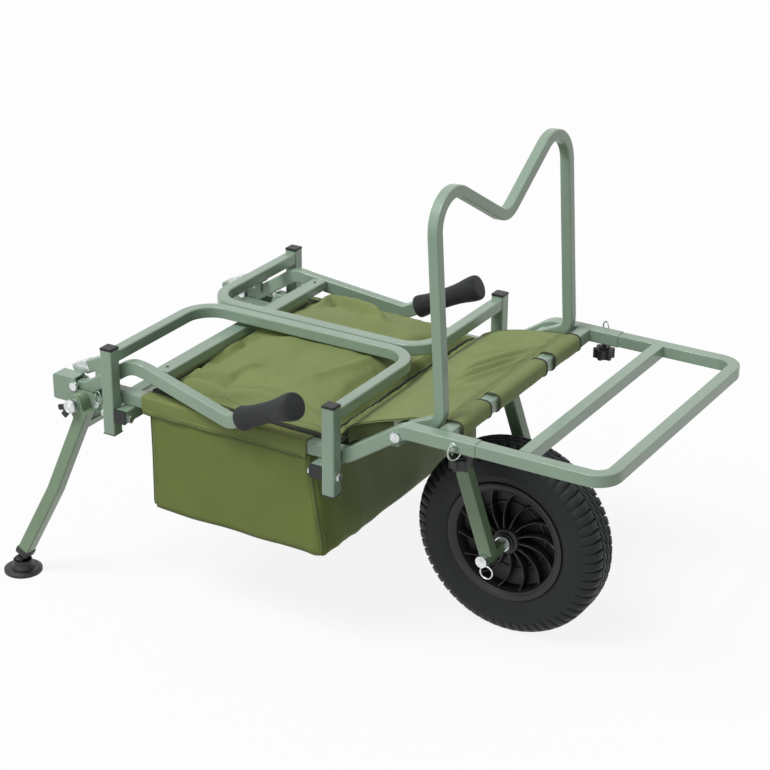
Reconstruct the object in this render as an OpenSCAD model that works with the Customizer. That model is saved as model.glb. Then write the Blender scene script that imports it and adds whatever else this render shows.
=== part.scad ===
// Folding one-wheel fishing trolley (carp barrow), millimetres.
// X runs forward (to the wheel and front rack), Y to the far side, Z up.
// Ground is Z = 0, the wheel and frame are centred on Y = 0.

/* [Output] */
// piece to draw ("all" draws the whole trolley)

/* [Frame tube] */
// outside size of the square frame tube
tube = 25; // [20:0.5:40]
// corner radius of the frame tube
tube_corner = 3; // [1:0.5:5]
// outside size of the square tube of the front rack
rack_tube = 22.6; // [16:0.2:38]
// gap on each face between rack tube and the rail it slides in
rack_gap = 0.1; // [0.05:0.05:0.3]
// side of the square tube of the gates
gate_tube = 22; // [16:0.5:30]
// side of the square tube of the M-shaped guard
guard_tube = 20; // [16:0.5:30]

/* [Overall frame] */
// distance from the centre line to the middle of a side rail
rail_half = 271; // [180:1:340]
// height of the middle of the low rear part of the rails
low_z = 409; // [300:1:500]
// height of the middle of the front part of the rails
high_z = 485; // [350:1:600]
// rear end of the side rails
rail_back = -380; // [-440:1:-370]
// where the ramp leaves the low part
ramp_x0 = 124; // [60:1:160]
// where the ramp reaches the high part
ramp_x1 = 238; // [180:1:280]
// front end of the rails, where the rack slides in
rail_front = 377; // [340:1:420]
// middle of the front cross member
cross_x = 308; // [280:1:330]

/* [Wheel] */
// outside diameter of the tyre
tyre_d = 372; // [300:1:420]
// width of the tyre
tyre_w = 88; // [60:1:110]
// outside diameter of the rim flanges
rim_d = 231; // [180:1:260]
// width over the rim flanges
rim_w = 80; // [50:1:100]
// number of curved spokes
spokes = 14; // [6:1:20]
// axle diameter
axle_d = 12; // [8:0.5:20]
// radial running clearance of wheel, pivots and feet
run_gap = 0.05; // [0.02:0.01:0.1]
// distance forward of the origin to the axle
axle_x = 310; // [260:1:340]

/* [Fork] */
// distance from the centre line to the middle of a fork leg
fork_half = 102; // [80:1:130]
// forward slope of the fork legs in degrees
fork_lean = 18.8; // [0:0.1:25]

/* [Gates] */
// x of the rear posts
post_back = -359; // [-400:1:-300]
// x of the front posts
post_front = 110; // [60:1:140]
// gap between a rail and the post beside it
post_gap = 4; // [1:0.5:30]
// height of the lower end of the posts
post_low = 345; // [300:1:380]
// height of the upper end of the posts, without caps
post_high = 508; // [450:1:560]
// height of the middle of the gate bars
gate_z = 492; // [450:1:540]
// height of the gate pivots
gate_pivot_z = 379; // [350:1:400]
// corner radius (middle line) of the gate bars
gate_bend = 58; // [30:1:80]
// half gap between the two gates at the centre line
gate_split = 2.5; // [1:0.5:10]

/* [Guard] */
// gap between a rail and the guard upright inside it
guard_gap = 12.5; // [2:0.5:40]
// height of the two peaks, middle line
guard_peak = 881; // [700:1:1000]
// height of the bottom of the V, middle line
guard_dip = 793; // [650:1:950]
// bend radius at the peaks
guard_bend = 58; // [30:1:80]
// rearward lean of the guard in degrees
guard_lean = 3.4; // [0:0.1:10]

/* [Front rack] */
// x of the middle of the rack's front bar
rack_front = 610; // [500:1:700]
// x of the rack's middle bar
rack_mid = 456.5; // [440:0.5:520]
// corner radius (middle line) of the rack
rack_bend = 34; // [20:1:80]

/* [Handle] */
// width of the handle tube
arm_w = 20; // [15:0.5:25]
// depth of the handle tube
arm_t = 26; // [20:0.5:30]
// outward turn of the arms in front of the crossbar, degrees
arm_splay = 8.6; // [0:0.2:12]
// grip length
grip_len = 141; // [100:1:160]

/* [Rear legs] */
// gap between a rail and the leg beside it, partly filled by the bracket's plate
leg_gap = 4; // [3.6:0.2:20]
// slope of the upper part of the leg in degrees from upright
leg_slope = 23.1; // [10:0.1:35]
// slope of the lower part of the leg in degrees from upright
leg_slope2 = 28; // [10:0.1:40]
// diameter of the round mud foot
foot_d = 73.6; // [50:1:110]

/* [Bag] */
// rear wall of the bag
bag_back = -291; // [-340:1:-260]
// front wall of the bag
bag_front = 81; // [40:1:100]
// bottom of the bag
bag_low = 200; // [150:1:300]
// thickness of the cloth
cloth = 1.4; // [1:0.1:3]

/* [Hidden] */
$fn = 48;
half = tube / 2;
hub_z = tyre_d / 2;
rack_half = rack_tube / 2;
gate_half = gate_tube / 2;
guard_h = guard_tube / 2;
bolt_r = 4;

// ---- helpers -------------------------------------------------------------
module section(a, b, r) {
  square([a - 2 * r, b], center = true);
  square([a, b - 2 * r], center = true);
  for (i = [-1, 1], j = [-1, 1]) translate([i * (a / 2 - r), j * (b / 2 - r)]) circle(r);
}
function dir(p, q) = (q - p) / norm(q - p);
function ang(d) = atan2(d[1], d[0]);
function turn(p, q, r) = let (a = dir(p, q), b = dir(q, r))
  atan2(a[0] * b[1] - a[1] * b[0], a[0] * b[0] + a[1] * b[1]);
// square tube along a flat path p (list of [x, y]), bend radii r at inner points;
// w is the size in the plane of the path, t the size across it
module run(p, r, w, t, c) {
  n = len(p);
  for (i = [0 : n - 2]) {
    d = dir(p[i], p[i + 1]);
    a = i == 0 ? 0 : r[i] * tan(abs(turn(p[i - 1], p[i], p[i + 1])) / 2);
    b = i == n - 2 ? 0 : r[i + 1] * tan(abs(turn(p[i], p[i + 1], p[i + 2])) / 2);
    // straights run on a little into the bends, so that the two always fuse
    e = i == 0 ? 0 : 1;
    f = i == n - 2 ? 0 : 1;
    translate(p[i] + d * (a - e)) rotate([0, 0, ang(d)]) rotate([90, 0, 90])
      linear_extrude(norm(p[i + 1] - p[i]) - a - b + e + f) section(w, t, c);
  }
  if (n > 2) for (i = [1 : n - 2]) {
    k = turn(p[i - 1], p[i], p[i + 1]);
    d = dir(p[i - 1], p[i]);
    s = sign(k);
    q = p[i] - d * r[i] * tan(abs(k) / 2) + s * r[i] * [-d[1], d[0]];
    translate(q) rotate([0, 0, ang(d) - s * 90 + min(0, k)])
      rotate_extrude(angle = abs(k)) translate([r[i], 0]) section(w - 0.16, t - 0.16, c);
  }
}
// put a path drawn in X-Z into place at y
module upright(y) { translate([0, y, 0]) rotate([90, 0, 0]) children(); }
module tube_y(x, z, y0, y1, w = tube) {
  translate([x, y0, z]) rotate([-90, 0, 0]) linear_extrude(y1 - y0) section(w, w, tube_corner);
}
module rod_y(x, z, y0, y1, r) { translate([x, y0, z]) rotate([-90, 0, 0]) cylinder(r = r, h = y1 - y0); }
module rod_x(y, z, x0, x1, r) { translate([x0, y, z]) rotate([0, 90, 0]) cylinder(r = r, h = x1 - x0); }
module hex_y(x, z, y0, y1, s) {
  translate([x, y0, z]) rotate([-90, 0, 0]) cylinder(r = s / sqrt(3), h = y1 - y0, $fn = 6);
}
module hex_x(y, z, x0, x1, s) {
  translate([x0, y, z]) rotate([0, 90, 0]) cylinder(r = s / sqrt(3), h = x1 - x0, $fn = 6);
}

// ---- main frame ----------------------------------------------------------
post_half = rail_half + tube + post_gap;
leg_half = rail_half + tube + leg_gap;
guard_half = rail_half - half - guard_gap - guard_h;
guard_pivot = [ramp_x1 - 10, high_z - 10];
guard_foot = [ramp_x1 + 51, high_z + 18];
fork_cross = [ramp_x1 - 31, high_z - 30];
knob_x = ramp_x1 + 107;
pin_x = ramp_x1 + 100;
leg_pivot = [rail_back - 57, low_z - 24];
leg_stop = [rail_back - 23, low_z - 24];
arm_pivot = [rail_back - 75, low_z - 1];
leg_cross = [rail_back - 54, low_z - 67];
gate_cross_z = low_z - tube - 0.2;
gate_cross = [post_back + half + 0.5 + half, post_front - half - 0.5 - half];

module rail(s) {
  difference() {
    upright(s * rail_half) run([[rail_back, low_z], [ramp_x0, low_z], [ramp_x1, high_z],
      [rail_front, high_z]], [0, 45, 45, 0], tube, tube, tube_corner);
    // bore for the rack tube
    translate([ramp_x1 + 14, s * rail_half, high_z]) rotate([90, 0, 90])
      linear_extrude(200) section(rack_tube + 2 * rack_gap, rack_tube + 2 * rack_gap, 2);
    // guard pivot
    rod_y(guard_pivot[0], guard_pivot[1], s * rail_half - 20, s * rail_half + 20, bolt_r);
    // stud of the rack knob
    translate([knob_x, s * rail_half, high_z - 20]) cylinder(r = 3, h = 14);
    // ring pin
    rod_y(pin_x, high_z, s > 0 ? s * rail_half + 6 : -rail_half - 20, s > 0 ? rail_half + 20 : -rail_half - 6, 4);
  }
}
module side_rail_near() { color([0.47, 0.55, 0.48]) rail(-1); }
module side_rail_far() { color([0.47, 0.55, 0.48]) rail(1); }
module front_cross_member() {
  color([0.47, 0.55, 0.48]) tube_y(cross_x, high_z, -rail_half + half, rail_half - half);
}
module fork_cross_tube() {
  color([0.47, 0.55, 0.48]) tube_y(fork_cross[0], fork_cross[1], -rail_half + half, rail_half - half);
}
module gate_cross(x, s) {
  difference() {
    tube_y(x, gate_cross_z, -post_half - 9, post_half + 9);
    for (i = [-1, 1]) rod_x(i * post_half, gate_pivot_z, x - 20, x + 20, bolt_r + 0.1);
  }
}
module gate_cross_tube_back() { color([0.45, 0.53, 0.46]) gate_cross(gate_cross[0], 1); }
module gate_cross_tube_front() { color([0.45, 0.53, 0.46]) gate_cross(gate_cross[1], -1); }
module tube_plugs() {
  color([0.13, 0.13, 0.14]) for (x = gate_cross, s = [-1, 1])
    translate([x, s * (post_half + 10.5), gate_cross_z]) rotate([90, 0, 0])
      linear_extrude(3, center = true) section(tube + 1, tube + 1, 3);
}
// rear bracket: two cheeks joined by a top web, holding rail end, handle arm and leg
module bracket(s) {
  difference() {
    union() {
      for (j = [-1, 1]) translate([0, s * rail_half + j * (half + 1.5), 0]) rotate([90, 0, 0])
        linear_extrude(3, center = true) translate([rail_back, low_z]) polygon([[-125, 10], [-122, 13], [-76, 13],
          [-73, 10], [-69, -7], [-6, -9], [-2, 3], [30, 3], [30, -15], [4, -15], [4, -38], [0, -42], [-69, -42],
          [-75, -36], [-122, -36], [-125, -33]]);
      translate([rail_back - 99, s * rail_half, low_z + 11.5]) cube([46, tube + 2, 3], center = true);
    }
    rod_y(arm_pivot[0], arm_pivot[1], s * rail_half - 40, s * rail_half + 40, bolt_r);
    rod_y(leg_pivot[0], leg_pivot[1], s * rail_half - 40, s * rail_half + 40, 5);
    rod_y(leg_stop[0], leg_stop[1], s * rail_half - 40, s * rail_half + 40, bolt_r);
  }
}
module bracket_near() { color([0.47, 0.55, 0.48]) bracket(-1); }
module bracket_far() { color([0.47, 0.55, 0.48]) bracket(1); }

// ---- fork and wheel ------------------------------------------------------
module fork(s) {
  k = tan(fork_lean);
  difference() {
    union() {
      upright(s * fork_half) run([[axle_x + 2.7, hub_z + 6], [axle_x + 2.7 - k * 290, hub_z + 6 + 290]], [0, 0],
        tube, tube, tube_corner);
      if (s < 0) tube_y(axle_x, hub_z, -fork_half - half + 0.5, -tyre_w / 2 - 3, 19);
      if (s > 0) tube_y(axle_x, hub_z, tyre_w / 2 + 3, fork_half + half - 0.5, 19);
    }
    translate([fork_cross[0] - 30, s * fork_half - 20, fork_cross[1] + 12.5]) cube([60, 40, 60]);
    translate([fork_cross[0] - 12.5, s * fork_half - 20, fork_cross[1] - 12.5]) cube([25, 40, 60]);
    translate([axle_x - 60, s * fork_half - 20, hub_z - 52.5]) cube([120, 40, 40]);
    rod_y(axle_x, hub_z, -200, 200, axle_d / 2);
  }
}
module fork_near() { color([0.45, 0.53, 0.46]) fork(-1); }
module fork_far() { color([0.45, 0.53, 0.46]) fork(1); }
module axle() {
  color([0.78, 0.79, 0.8]) rod_y(axle_x, hub_z, -fork_half - half - 1, fork_half + half + 1, axle_d / 2);
}
module axle_collars() {
  color([0.85, 0.86, 0.87]) for (s = [-1, 1]) difference() {
    rod_y(axle_x, hub_z, s > 0 ? 42.5 : -47, s > 0 ? 47 : -42.5, 13);
    rod_y(axle_x, hub_z, -60, 60, axle_d / 2 + 0.02);
  }
}
module rim() {
  r = rim_d / 2;
  w = rim_w / 2;
  color([0.12, 0.12, 0.13]) translate([axle_x, 0, hub_z]) rotate([90, 0, 0]) difference() {
    union() {
      rotate_extrude() {
        // barrel with the two flanges
        polygon([[r, -w], [r, -w + 5], [r - 8, -w + 12], [r - 10, -w + 26], [r - 16, -10], [r - 16, 10],
          [r - 10, w - 26], [r - 8, w - 12], [r, w - 5], [r, w], [r - 4, w + 1], [r - 19, w - 4],
          [r - 20, w - 8], [r - 22, 12], [r - 22, -12], [r - 20, -w + 8], [r - 19, -w + 4], [r - 4, -w - 1]]);
        // hub
        polygon([[axle_d / 2 + run_gap, -42], [18, -42], [22, -34], [24, -8], [24, 8], [22, 34], [18, 42],
          [axle_d / 2 + run_gap, 42]]);
      }
      // web behind the spokes
      cylinder(r = r - 18, h = 6, center = true);
      for (i = [0 : spokes - 1]) rotate([0, 0, i * 360 / spokes]) intersection() {
        translate([0, 0, -24]) cylinder(r = r - 19, h = 48);
        difference() {
          translate([r * 0.62, -r * 0.18, -22]) cylinder(r = r * 0.47, h = 44);
          translate([r * 0.62, -r * 0.18, -23]) cylinder(r = r * 0.47 - 3.5, h = 46);
          translate([0, -2 * r - 3, -30]) cube([4 * r, 4 * r, 60], center = false);
          translate([-r, -r, -30]) cube([r, 2 * r, 60]);
        }
      }
    }
    cylinder(r = axle_d / 2 + run_gap, h = 120, center = true);
    rotate([0, 0, 47]) translate([r - 48, 0, 0]) rotate([0, 90, 0]) cylinder(r = 4, h = 58);
  }
}
module tyre() {
  r = rim_d / 2;
  R = tyre_d / 2;
  w = tyre_w / 2;
  color([0.09, 0.09, 0.1]) translate([axle_x, 0, hub_z]) rotate([90, 0, 0]) difference() {
    rotate_extrude() difference() {
      intersection() {
        translate([r + (R - r) * 0.42, 0]) circle(w);
        translate([r - 7.8, -w]) square([R - r + 7.8, 2 * w]);
      }
      // bead seat and flange clearance
      polygon([[r - 20, -w - 1], [r - 20, -w + 4.2], [r + 0.3, -w + 3.7], [r + 0.3, -w + 9.2],
        [r - 7.5, -w + 16.3], [r - 9.5, -w + 30], [r - 9.5, w - 30], [r - 7.5, w - 16.3], [r + 0.3, w - 9.2],
        [r + 0.3, w - 3.7], [r - 20, w - 4.2], [r - 20, -w - 1]]);
      polygon([[r - 20, w - 4.2], [r - 20, w + 1], [r - 10, w + 1], [r + 0.3, w - 3.7]]);
      // air chamber
      translate([r + (R - r) * 0.42, 0]) circle(w - 12);
      polygon([[r - 10, -14], [r + 26, -14], [r + 26, 14], [r - 10, 14]]);
    }
    // tread grooves
    for (y = [-14, 14]) translate([0, 0, y]) rotate_extrude()
      translate([R - 5, -2]) square([20, 4]);
    for (i = [0 : 35]) rotate([0, 0, i * 10]) for (s = [-1, 1]) translate([0, 0, s * 28])
      rotate([0, 90, 0]) translate([0, 0, R - 13]) rotate([0, 0, s * 0]) cube([20, 5, 20], center = true);
  }
}
module valve() {
  color([0.1, 0.1, 0.1]) translate([axle_x, 0, hub_z]) rotate([90, 0, 0]) rotate([0, 0, 47])
    translate([rim_d / 2 - 40, 0, 0]) rotate([0, 90, 0]) {
      cylinder(r = 3.9, h = 26);
      translate([0, 0, -6]) cylinder(r = 3, h = 8);
    }
}
module wheel_lock_pins() {
  y = fork_half + half + 1;
  color([0.8, 0.81, 0.82]) for (s = [-1, 1]) {
    rod_y(axle_x, hub_z, s > 0 ? y : -y - 10, s > 0 ? y + 10 : -y, 11);
    translate([axle_x + 9, s * (y + 5), hub_z - 20]) rotate([90, 0, 0])
      rotate_extrude() translate([12, 0]) circle(1.4, $fn = 16);
  }
}

// ---- gates ---------------------------------------------------------------
module gate(s) {
  y = gate_split + gate_half;
  difference() {
    union() {
      for (x = [post_back, post_front]) translate([x, s * post_half, post_low])
        linear_extrude(post_high - post_low) section(tube, tube, tube_corner);
      translate([0, 0, gate_z]) run([[post_back, s * (post_half - half)], [post_back, s * y],
        [post_front, s * y], [post_front, s * (post_half - half)]],
        [0, gate_bend, gate_bend, 0], gate_tube, gate_tube, 3);
    }
    for (x = [post_back, post_front]) rod_x(s * post_half, gate_pivot_z, x - 20, x + 20, bolt_r + 0.1 + run_gap);
  }
}
module gate_near() { color([0.47, 0.55, 0.48]) gate(-1); }
module gate_far() { color([0.47, 0.55, 0.48]) gate(1); }
module gate_caps(s) {
  for (x = [post_back, post_front]) translate([x, s * post_half, post_high]) {
    linear_extrude(3) section(tube + 1, tube + 1, 3);
    translate([0, 0, 3]) linear_extrude(1) section(tube - 2, tube - 2, 3);
  }
}
module gate_caps_near() { color([0.13, 0.13, 0.14]) gate_caps(-1); }
module gate_caps_far() { color([0.13, 0.13, 0.14]) gate_caps(1); }
module gate_bolts() {
  color([0.82, 0.83, 0.84]) for (s = [-1, 1]) {
    xb = gate_cross[0] + half;
    rod_x(s * post_half, gate_pivot_z, post_back - half - 9, xb, bolt_r + 0.1);
    hex_x(s * post_half, gate_pivot_z, xb, xb + 5.5, 13);
    hex_x(s * post_half, gate_pivot_z, post_back - half - 8, post_back - half - 0.5, 13);
    xf = gate_cross[1] - half;
    rod_x(s * post_half, gate_pivot_z, xf, post_front + half + 1, bolt_r + 0.1);
    hex_x(s * post_half, gate_pivot_z, xf - 6.5, xf, 13);
    hex_x(s * post_half, gate_pivot_z, post_front + half + 0.5, post_front + half + 6, 13);
  }
}

// ---- guard ---------------------------------------------------------------
module guard() {
  h = guard_half;
  z0 = guard_foot[1];
  foot_x = guard_foot[0];
  color([0.47, 0.55, 0.48]) difference() {
    union() {
      translate([foot_x, 0, z0]) rotate([0, -guard_lean, 0]) rotate([90, 0, 90])
        run([[-h, 24], [-h, apex_z()], [0, dip_z()], [h, apex_z()], [h, 24]], [0, guard_bend, 45, guard_bend, 0],
          guard_tube, guard_tube, 3);
      for (s = [-1, 1]) upright(s * h) run([guard_pivot, [foot_x, z0 - 1],
        [foot_x - 27 * tan(guard_lean), z0 + 26]], [0, 26, 0], guard_tube - 0.4, guard_tube - 0.4, 3);
      for (s = [-1, 1]) rod_y(guard_pivot[0], guard_pivot[1], s > 0 ? h - guard_h + 0.6 : -rail_half + half + 0.5,
        s > 0 ? rail_half - half - 0.5 : -h + guard_h - 0.6, guard_h - 0.6);
    }
    rod_y(guard_pivot[0], guard_pivot[1], -300, 300, bolt_r + run_gap);
  }
}
// flat coordinates of the sharp corners of the M (before bending)
function m_slope() = 31;
function dip_z() = (guard_dip - guard_foot[1]) - 45 * (1 / cos(m_slope()) - 1);
function apex_z() = dip_z() + guard_half * tan(m_slope());
module guard_bolts() {
  color([0.82, 0.83, 0.84]) for (s = [-1, 1]) {
    rod_y(guard_pivot[0], guard_pivot[1], s > 0 ? guard_half - 14 : -rail_half - half - 1,
      s > 0 ? rail_half + half + 1 : -guard_half + 14, bolt_r);
    rod_y(guard_pivot[0], guard_pivot[1], s > 0 ? rail_half + half : -rail_half - half - 5.5,
      s > 0 ? rail_half + half + 5.5 : -rail_half - half, 9);
    hex_y(guard_pivot[0], guard_pivot[1], s > 0 ? guard_half - 18 : -guard_half + 10.5,
      s > 0 ? guard_half - 10.5 : -guard_half + 18, 13);
  }
}

// ---- front rack ----------------------------------------------------------
module rack() {
  color([0.6, 0.67, 0.61]) union() {
    translate([0, 0, high_z]) run([[cross_x + 10, -rail_half], [rack_front, -rail_half], [rack_front, rail_half],
      [cross_x + 10, rail_half]], [0, rack_bend, rack_bend, 0], rack_tube, rack_tube, 2);
    translate([rack_mid, 0, high_z]) rotate([90, 0, 0])
      linear_extrude(2 * rail_half - rack_tube, center = true) section(rack_tube, rack_tube, 2);
  }
}
module star_knob(s) {
  translate([knob_x, s * rail_half, 0]) {
    difference() {
      translate([0, 0, high_z - 42]) cylinder(r = 20, h = 18);
      for (i = [0 : 5]) rotate([0, 0, i * 60]) translate([24, 0, high_z - 44]) cylinder(r = 9, h = 22);
    }
    translate([0, 0, high_z - 24]) cylinder(r = 10, h = 4);
    translate([0, 0, high_z - 20]) cylinder(r = 3 - run_gap, h = 8.3);
  }
}
module rack_knob_near() { color([0.13, 0.13, 0.14]) star_knob(-1); }
module rack_knob_far() { color([0.13, 0.13, 0.14]) star_knob(1); }
module ring_pin(s) {
  y = rail_half + half;
  color([0.75, 0.76, 0.77]) {
    rod_y(pin_x, high_z, s > 0 ? y - 0.9 : -y - 11, s > 0 ? y + 11 : -y + 0.9, 4 - run_gap);
    rod_y(pin_x, high_z, s > 0 ? y + 0.3 : -y - 3, s > 0 ? y + 3 : -y - 0.3, 7);
    // pull ring: the near one hangs, the far one stands up
    translate([pin_x, s * (y + 9.4), high_z + s * 13]) rotate([90, 0, 0])
      rotate_extrude() translate([13, 0]) circle(1.4, $fn = 16);
  }
}
module ring_pin_near() { ring_pin(-1); }
module ring_pin_far() { ring_pin(1); }

// ---- handle --------------------------------------------------------------
// the arms turn outward at this point of their middle line
arm_joint = [rail_back + 80, low_z + 56.6];
arm_y = rail_half - 2;
arm_slope = -0.175;
arm_tilt = 26.2;
arm_bend = 205;
// where the grip begins, along the arm from the point where it turns outward
grip_at = [arm_bend + 26, arm_bend * arm_slope + 26 * tan(arm_tilt)];
crossbar = [rail_back + 107, low_z + 54];
module arm(s) {
  k = arm_slope;
  difference() {
    union() {
      difference() {
        upright(s * arm_y) run([arm_pivot + [-38, -6], arm_pivot + [19, -6], arm_pivot + [123, 63.2],
          arm_joint + [12, 12 * k]], [0, 60, 50, 0], arm_t, arm_w, 3);
        mitre(s) translate([0, -50, 0]) cube([60, 100, 300]);
      }
      difference() {
        outward(s) rotate([90, 0, 0])
          run([[-12, -12 * k], [arm_bend, arm_bend * k], grip_at - 0.3 * [cos(arm_tilt), sin(arm_tilt)]], [0, 30, 0],
            arm_t, arm_w, 3);
        mitre(s) translate([-60, -50, 0]) cube([60, 100, 300]);
      }
      // round end inside the grip
      outward(s) translate([grip_at[0], 0, grip_at[1]]) rotate([0, 90 - arm_tilt, 0]) translate([0, 0, -7])
        cylinder(r = 9.4, h = grip_len);
      // short stub beside the foot of the arm
      upright(s * (arm_y - arm_w / 2 - 10)) run([arm_pivot + [3, 26], arm_pivot + [55, 51]], [0, 0], 24, 22, 3);
      translate([arm_pivot[0] + 38, s * (arm_y - arm_w / 2 - 0.4), arm_pivot[1] + 28]) cube([15, 7, 33], center = true);
    }
    rod_y(arm_pivot[0], arm_pivot[1], s * rail_half - 40, s * rail_half + 40, bolt_r + run_gap);
  }
}
module outward(s) { translate([arm_joint[0], s * arm_y, arm_joint[1]]) rotate([0, 0, s * arm_splay]) children(); }
module mitre(s) { translate([arm_joint[0], s * arm_y, low_z - 89]) rotate([0, 0, s * arm_splay / 2]) children(); }
module handle() {
  color([0.47, 0.55, 0.48]) {
    arm(-1);
    arm(1);
    translate([crossbar[0], 0, crossbar[1]]) rotate([90, 0, 0])
      linear_extrude(2 * (rail_half - arm_w / 2) + 6, center = true) section(30, 19, 3);
  }
}
// bright end pieces of the two stubs
module stub_ends() {
  color([0.9, 0.91, 0.92]) for (s = [-1, 1]) upright(s * (arm_y - arm_w / 2 - 10)) {
    translate([0, 0, s * 3]) run([arm_pivot + [-17, 16.4], arm_pivot + [2.7, 25.9]], [0, 0], 20, 14, 2);
    translate([0, 0, s * 3]) run([arm_pivot + [-23, 13.5], arm_pivot + [-16.8, 16.5]], [0, 0], 3, 14, 1);
  }
}
module grip(s) {
  outward(s) translate([grip_at[0], 0, grip_at[1]]) rotate([0, 90 - arm_tilt, 0]) difference() {
      union() {
        cylinder(r = 22, h = 10);
        translate([0, 0, 10]) cylinder(r1 = 22, r2 = 19, h = 14);
        translate([0, 0, 24]) cylinder(r = 19, h = grip_len - 54);
        translate([0, 0, grip_len - 30]) cylinder(r1 = 19, r2 = 25, h = 20);
        translate([0, 0, grip_len - 10]) cylinder(r = 25, h = 10);
      }
      translate([0, 0, -1]) cylinder(r = 9.6, h = grip_len - 3);
    }
}
module grip_near() { color([0.16, 0.17, 0.18]) grip(-1); }
module grip_far() { color([0.16, 0.17, 0.18]) grip(1); }
module handle_bolts() {
  color([0.82, 0.83, 0.84]) for (s = [-1, 1]) {
    y = s * rail_half;
    rod_y(arm_pivot[0], arm_pivot[1], y - half - 8, y + half + 8, bolt_r);
    rod_y(arm_pivot[0], arm_pivot[1], y - s * (half + 3) - 5.5 * (s > 0 ? 1 : 0), y - s * (half + 3) + 5.5 * (s > 0 ? 0 : 1), 8);
    rod_y(arm_pivot[0], arm_pivot[1], y + s * (half + 3) - 5.5 * (s > 0 ? 0 : 1), y + s * (half + 3) + 5.5 * (s > 0 ? 1 : 0), 8);
  }
}
module handle_rivets() {
  color([0.3, 0.33, 0.31]) for (s = [-1, 1]) translate([crossbar[0], s * (rail_half - 27), crossbar[1] + 9.5]) cylinder(r = 3, h = 1);
}

// ---- rear legs -----------------------------------------------------------
leg_splay = 2.4;
leg_top = [rail_back - 39.8, low_z - 33];
leg_kink = leg_top + 197 * [-sin(leg_slope), -cos(leg_slope)];
leg_end = leg_kink + 174 * [-sin(leg_slope2), -cos(leg_slope2)];
foot_at = leg_end + 14 * [-sin(leg_slope2), -cos(leg_slope2)];
foot_y = leg_half + 14;
module splayed(s) {
  translate([0, s * leg_half, low_z - 39]) rotate([s * leg_splay, 0, 0])
    translate([0, -s * leg_half, 39 - low_z]) children();
}
module leg(s) {
  color([0.47, 0.55, 0.48]) difference() {
    union() {
      splayed(s) upright(s * leg_half) run([leg_top, leg_kink, leg_end], [0, 80, 0], tube, tube, tube_corner);
      // eye that carries the pivot
      translate([0, s * leg_half, 0]) rotate([90, 0, 0]) linear_extrude(tube, center = true) {
        translate(leg_pivot) circle(17.5);
        polygon([leg_pivot + [-17.5, 0], leg_pivot + [17.5, 0], leg_pivot + [20, -12], leg_pivot + [0, -34]]);
      }
    }
    rod_y(leg_pivot[0], leg_pivot[1], s * leg_half - 30, s * leg_half + 30, 5 + run_gap);
  }
}
module leg_near() { leg(-1); }
module leg_far() { leg(1); }
module leg_cross_tube() {
  color([0.45, 0.53, 0.46]) translate([leg_cross[0], 0, leg_cross[1]]) rotate([0, leg_slope, 0]) rotate([90, 0, 0])
    linear_extrude(2 * (leg_half - half + 0.7), center = true) section(20, 20, 3);
}
module leg_bolt(s) {
  y0 = rail_half - half - 9;
  y1 = leg_half + half + 6;
  color([0.82, 0.83, 0.84]) {
    rod_y(leg_pivot[0], leg_pivot[1], s > 0 ? y0 : -y1, s > 0 ? y1 : -y0, 5);
    rod_y(leg_pivot[0], leg_pivot[1], s > 0 ? leg_half + half + 0.3 : -y1, s > 0 ? y1 : -leg_half - half - 0.3, 13);
  }
}
module leg_bolt_near() { leg_bolt(-1); }
module leg_bolt_far() { leg_bolt(1); }
module leg_knob(s) {
  y1 = leg_half + half + 6.3;
  color([0.1, 0.1, 0.11]) translate([leg_pivot[0], s * y1, leg_pivot[1]]) rotate([s > 0 ? -90 : 90, 0, 0]) {
    cylinder(r = 8, h = 12);
    rotate([0, 0, 198]) translate([5, -4.5, 0.5]) cube([25, 9, 10]);
    rotate([0, 0, 250]) translate([5, -4.2, 1]) cube([25, 8.4, 9]);
  }
}
module leg_knob_near() { leg_knob(-1); }
module leg_knob_far() { leg_knob(1); }
module leg_stops() {
  color([0.82, 0.83, 0.84]) for (s = [-1, 1]) {
    y0 = rail_half - half - 3;
    y1 = rail_half + half + 3;
    rod_y(leg_stop[0], leg_stop[1], s > 0 ? y0 - 6 : -y1 - 6, s > 0 ? y1 + 6 : -y0 + 6, bolt_r);
    hex_y(leg_stop[0], leg_stop[1], s > 0 ? y1 : -y1 - 6, s > 0 ? y1 + 6 : -y1, 13);
  }
}
module leg_plug(s) {
  color([0.1, 0.1, 0.11]) difference() {
    union() {
      splayed(s) translate([leg_end[0], s * leg_half, leg_end[1]]) rotate([0, leg_slope2, 0])
        translate([0, 0, -3]) linear_extrude(3) section(tube + 1.5, tube + 1.5, 3);
      translate([leg_end[0], s * foot_y, leg_end[1]]) rotate([0, leg_slope2, 0])
        translate([0, 0, -20]) linear_extrude(18.5) square([15, 10], center = true);
    }
    rod_y(foot_at[0], foot_at[1], s * foot_y - 15, s * foot_y + 15, 3);
  }
}
module leg_plug_near() { leg_plug(-1); }
module leg_plug_far() { leg_plug(1); }
module foot(s) {
  color([0.1, 0.1, 0.11]) translate([foot_at[0], s * foot_y, 0]) difference() {
    union() {
      cylinder(r = foot_d / 2, h = 5);
      translate([0, 0, 5]) cylinder(r1 = foot_d / 2, r2 = foot_d / 2 - 6, h = 3);
      translate([0, 0, 8]) cylinder(r1 = 22, r2 = 17, h = 4);
      for (j = [-1, 1]) {
        translate([-8, j * 9.5 - 3.5, 8]) cube([16, 7, foot_at[1] - 8]);
        rod_y(0, foot_at[1], j * 9.5 - 3.5, j * 9.5 + 3.5, 8);
      }
    }
    rod_y(0, foot_at[1], -40, 40, 3 + run_gap);
  }
}
module foot_near() { foot(-1); }
module foot_far() { foot(1); }
module foot_pins() {
  color([0.6, 0.61, 0.62]) for (s = [-1, 1]) {
    rod_y(foot_at[0], foot_at[1], s * foot_y - 14, s * foot_y + 14, 3);
  }
}

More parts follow.
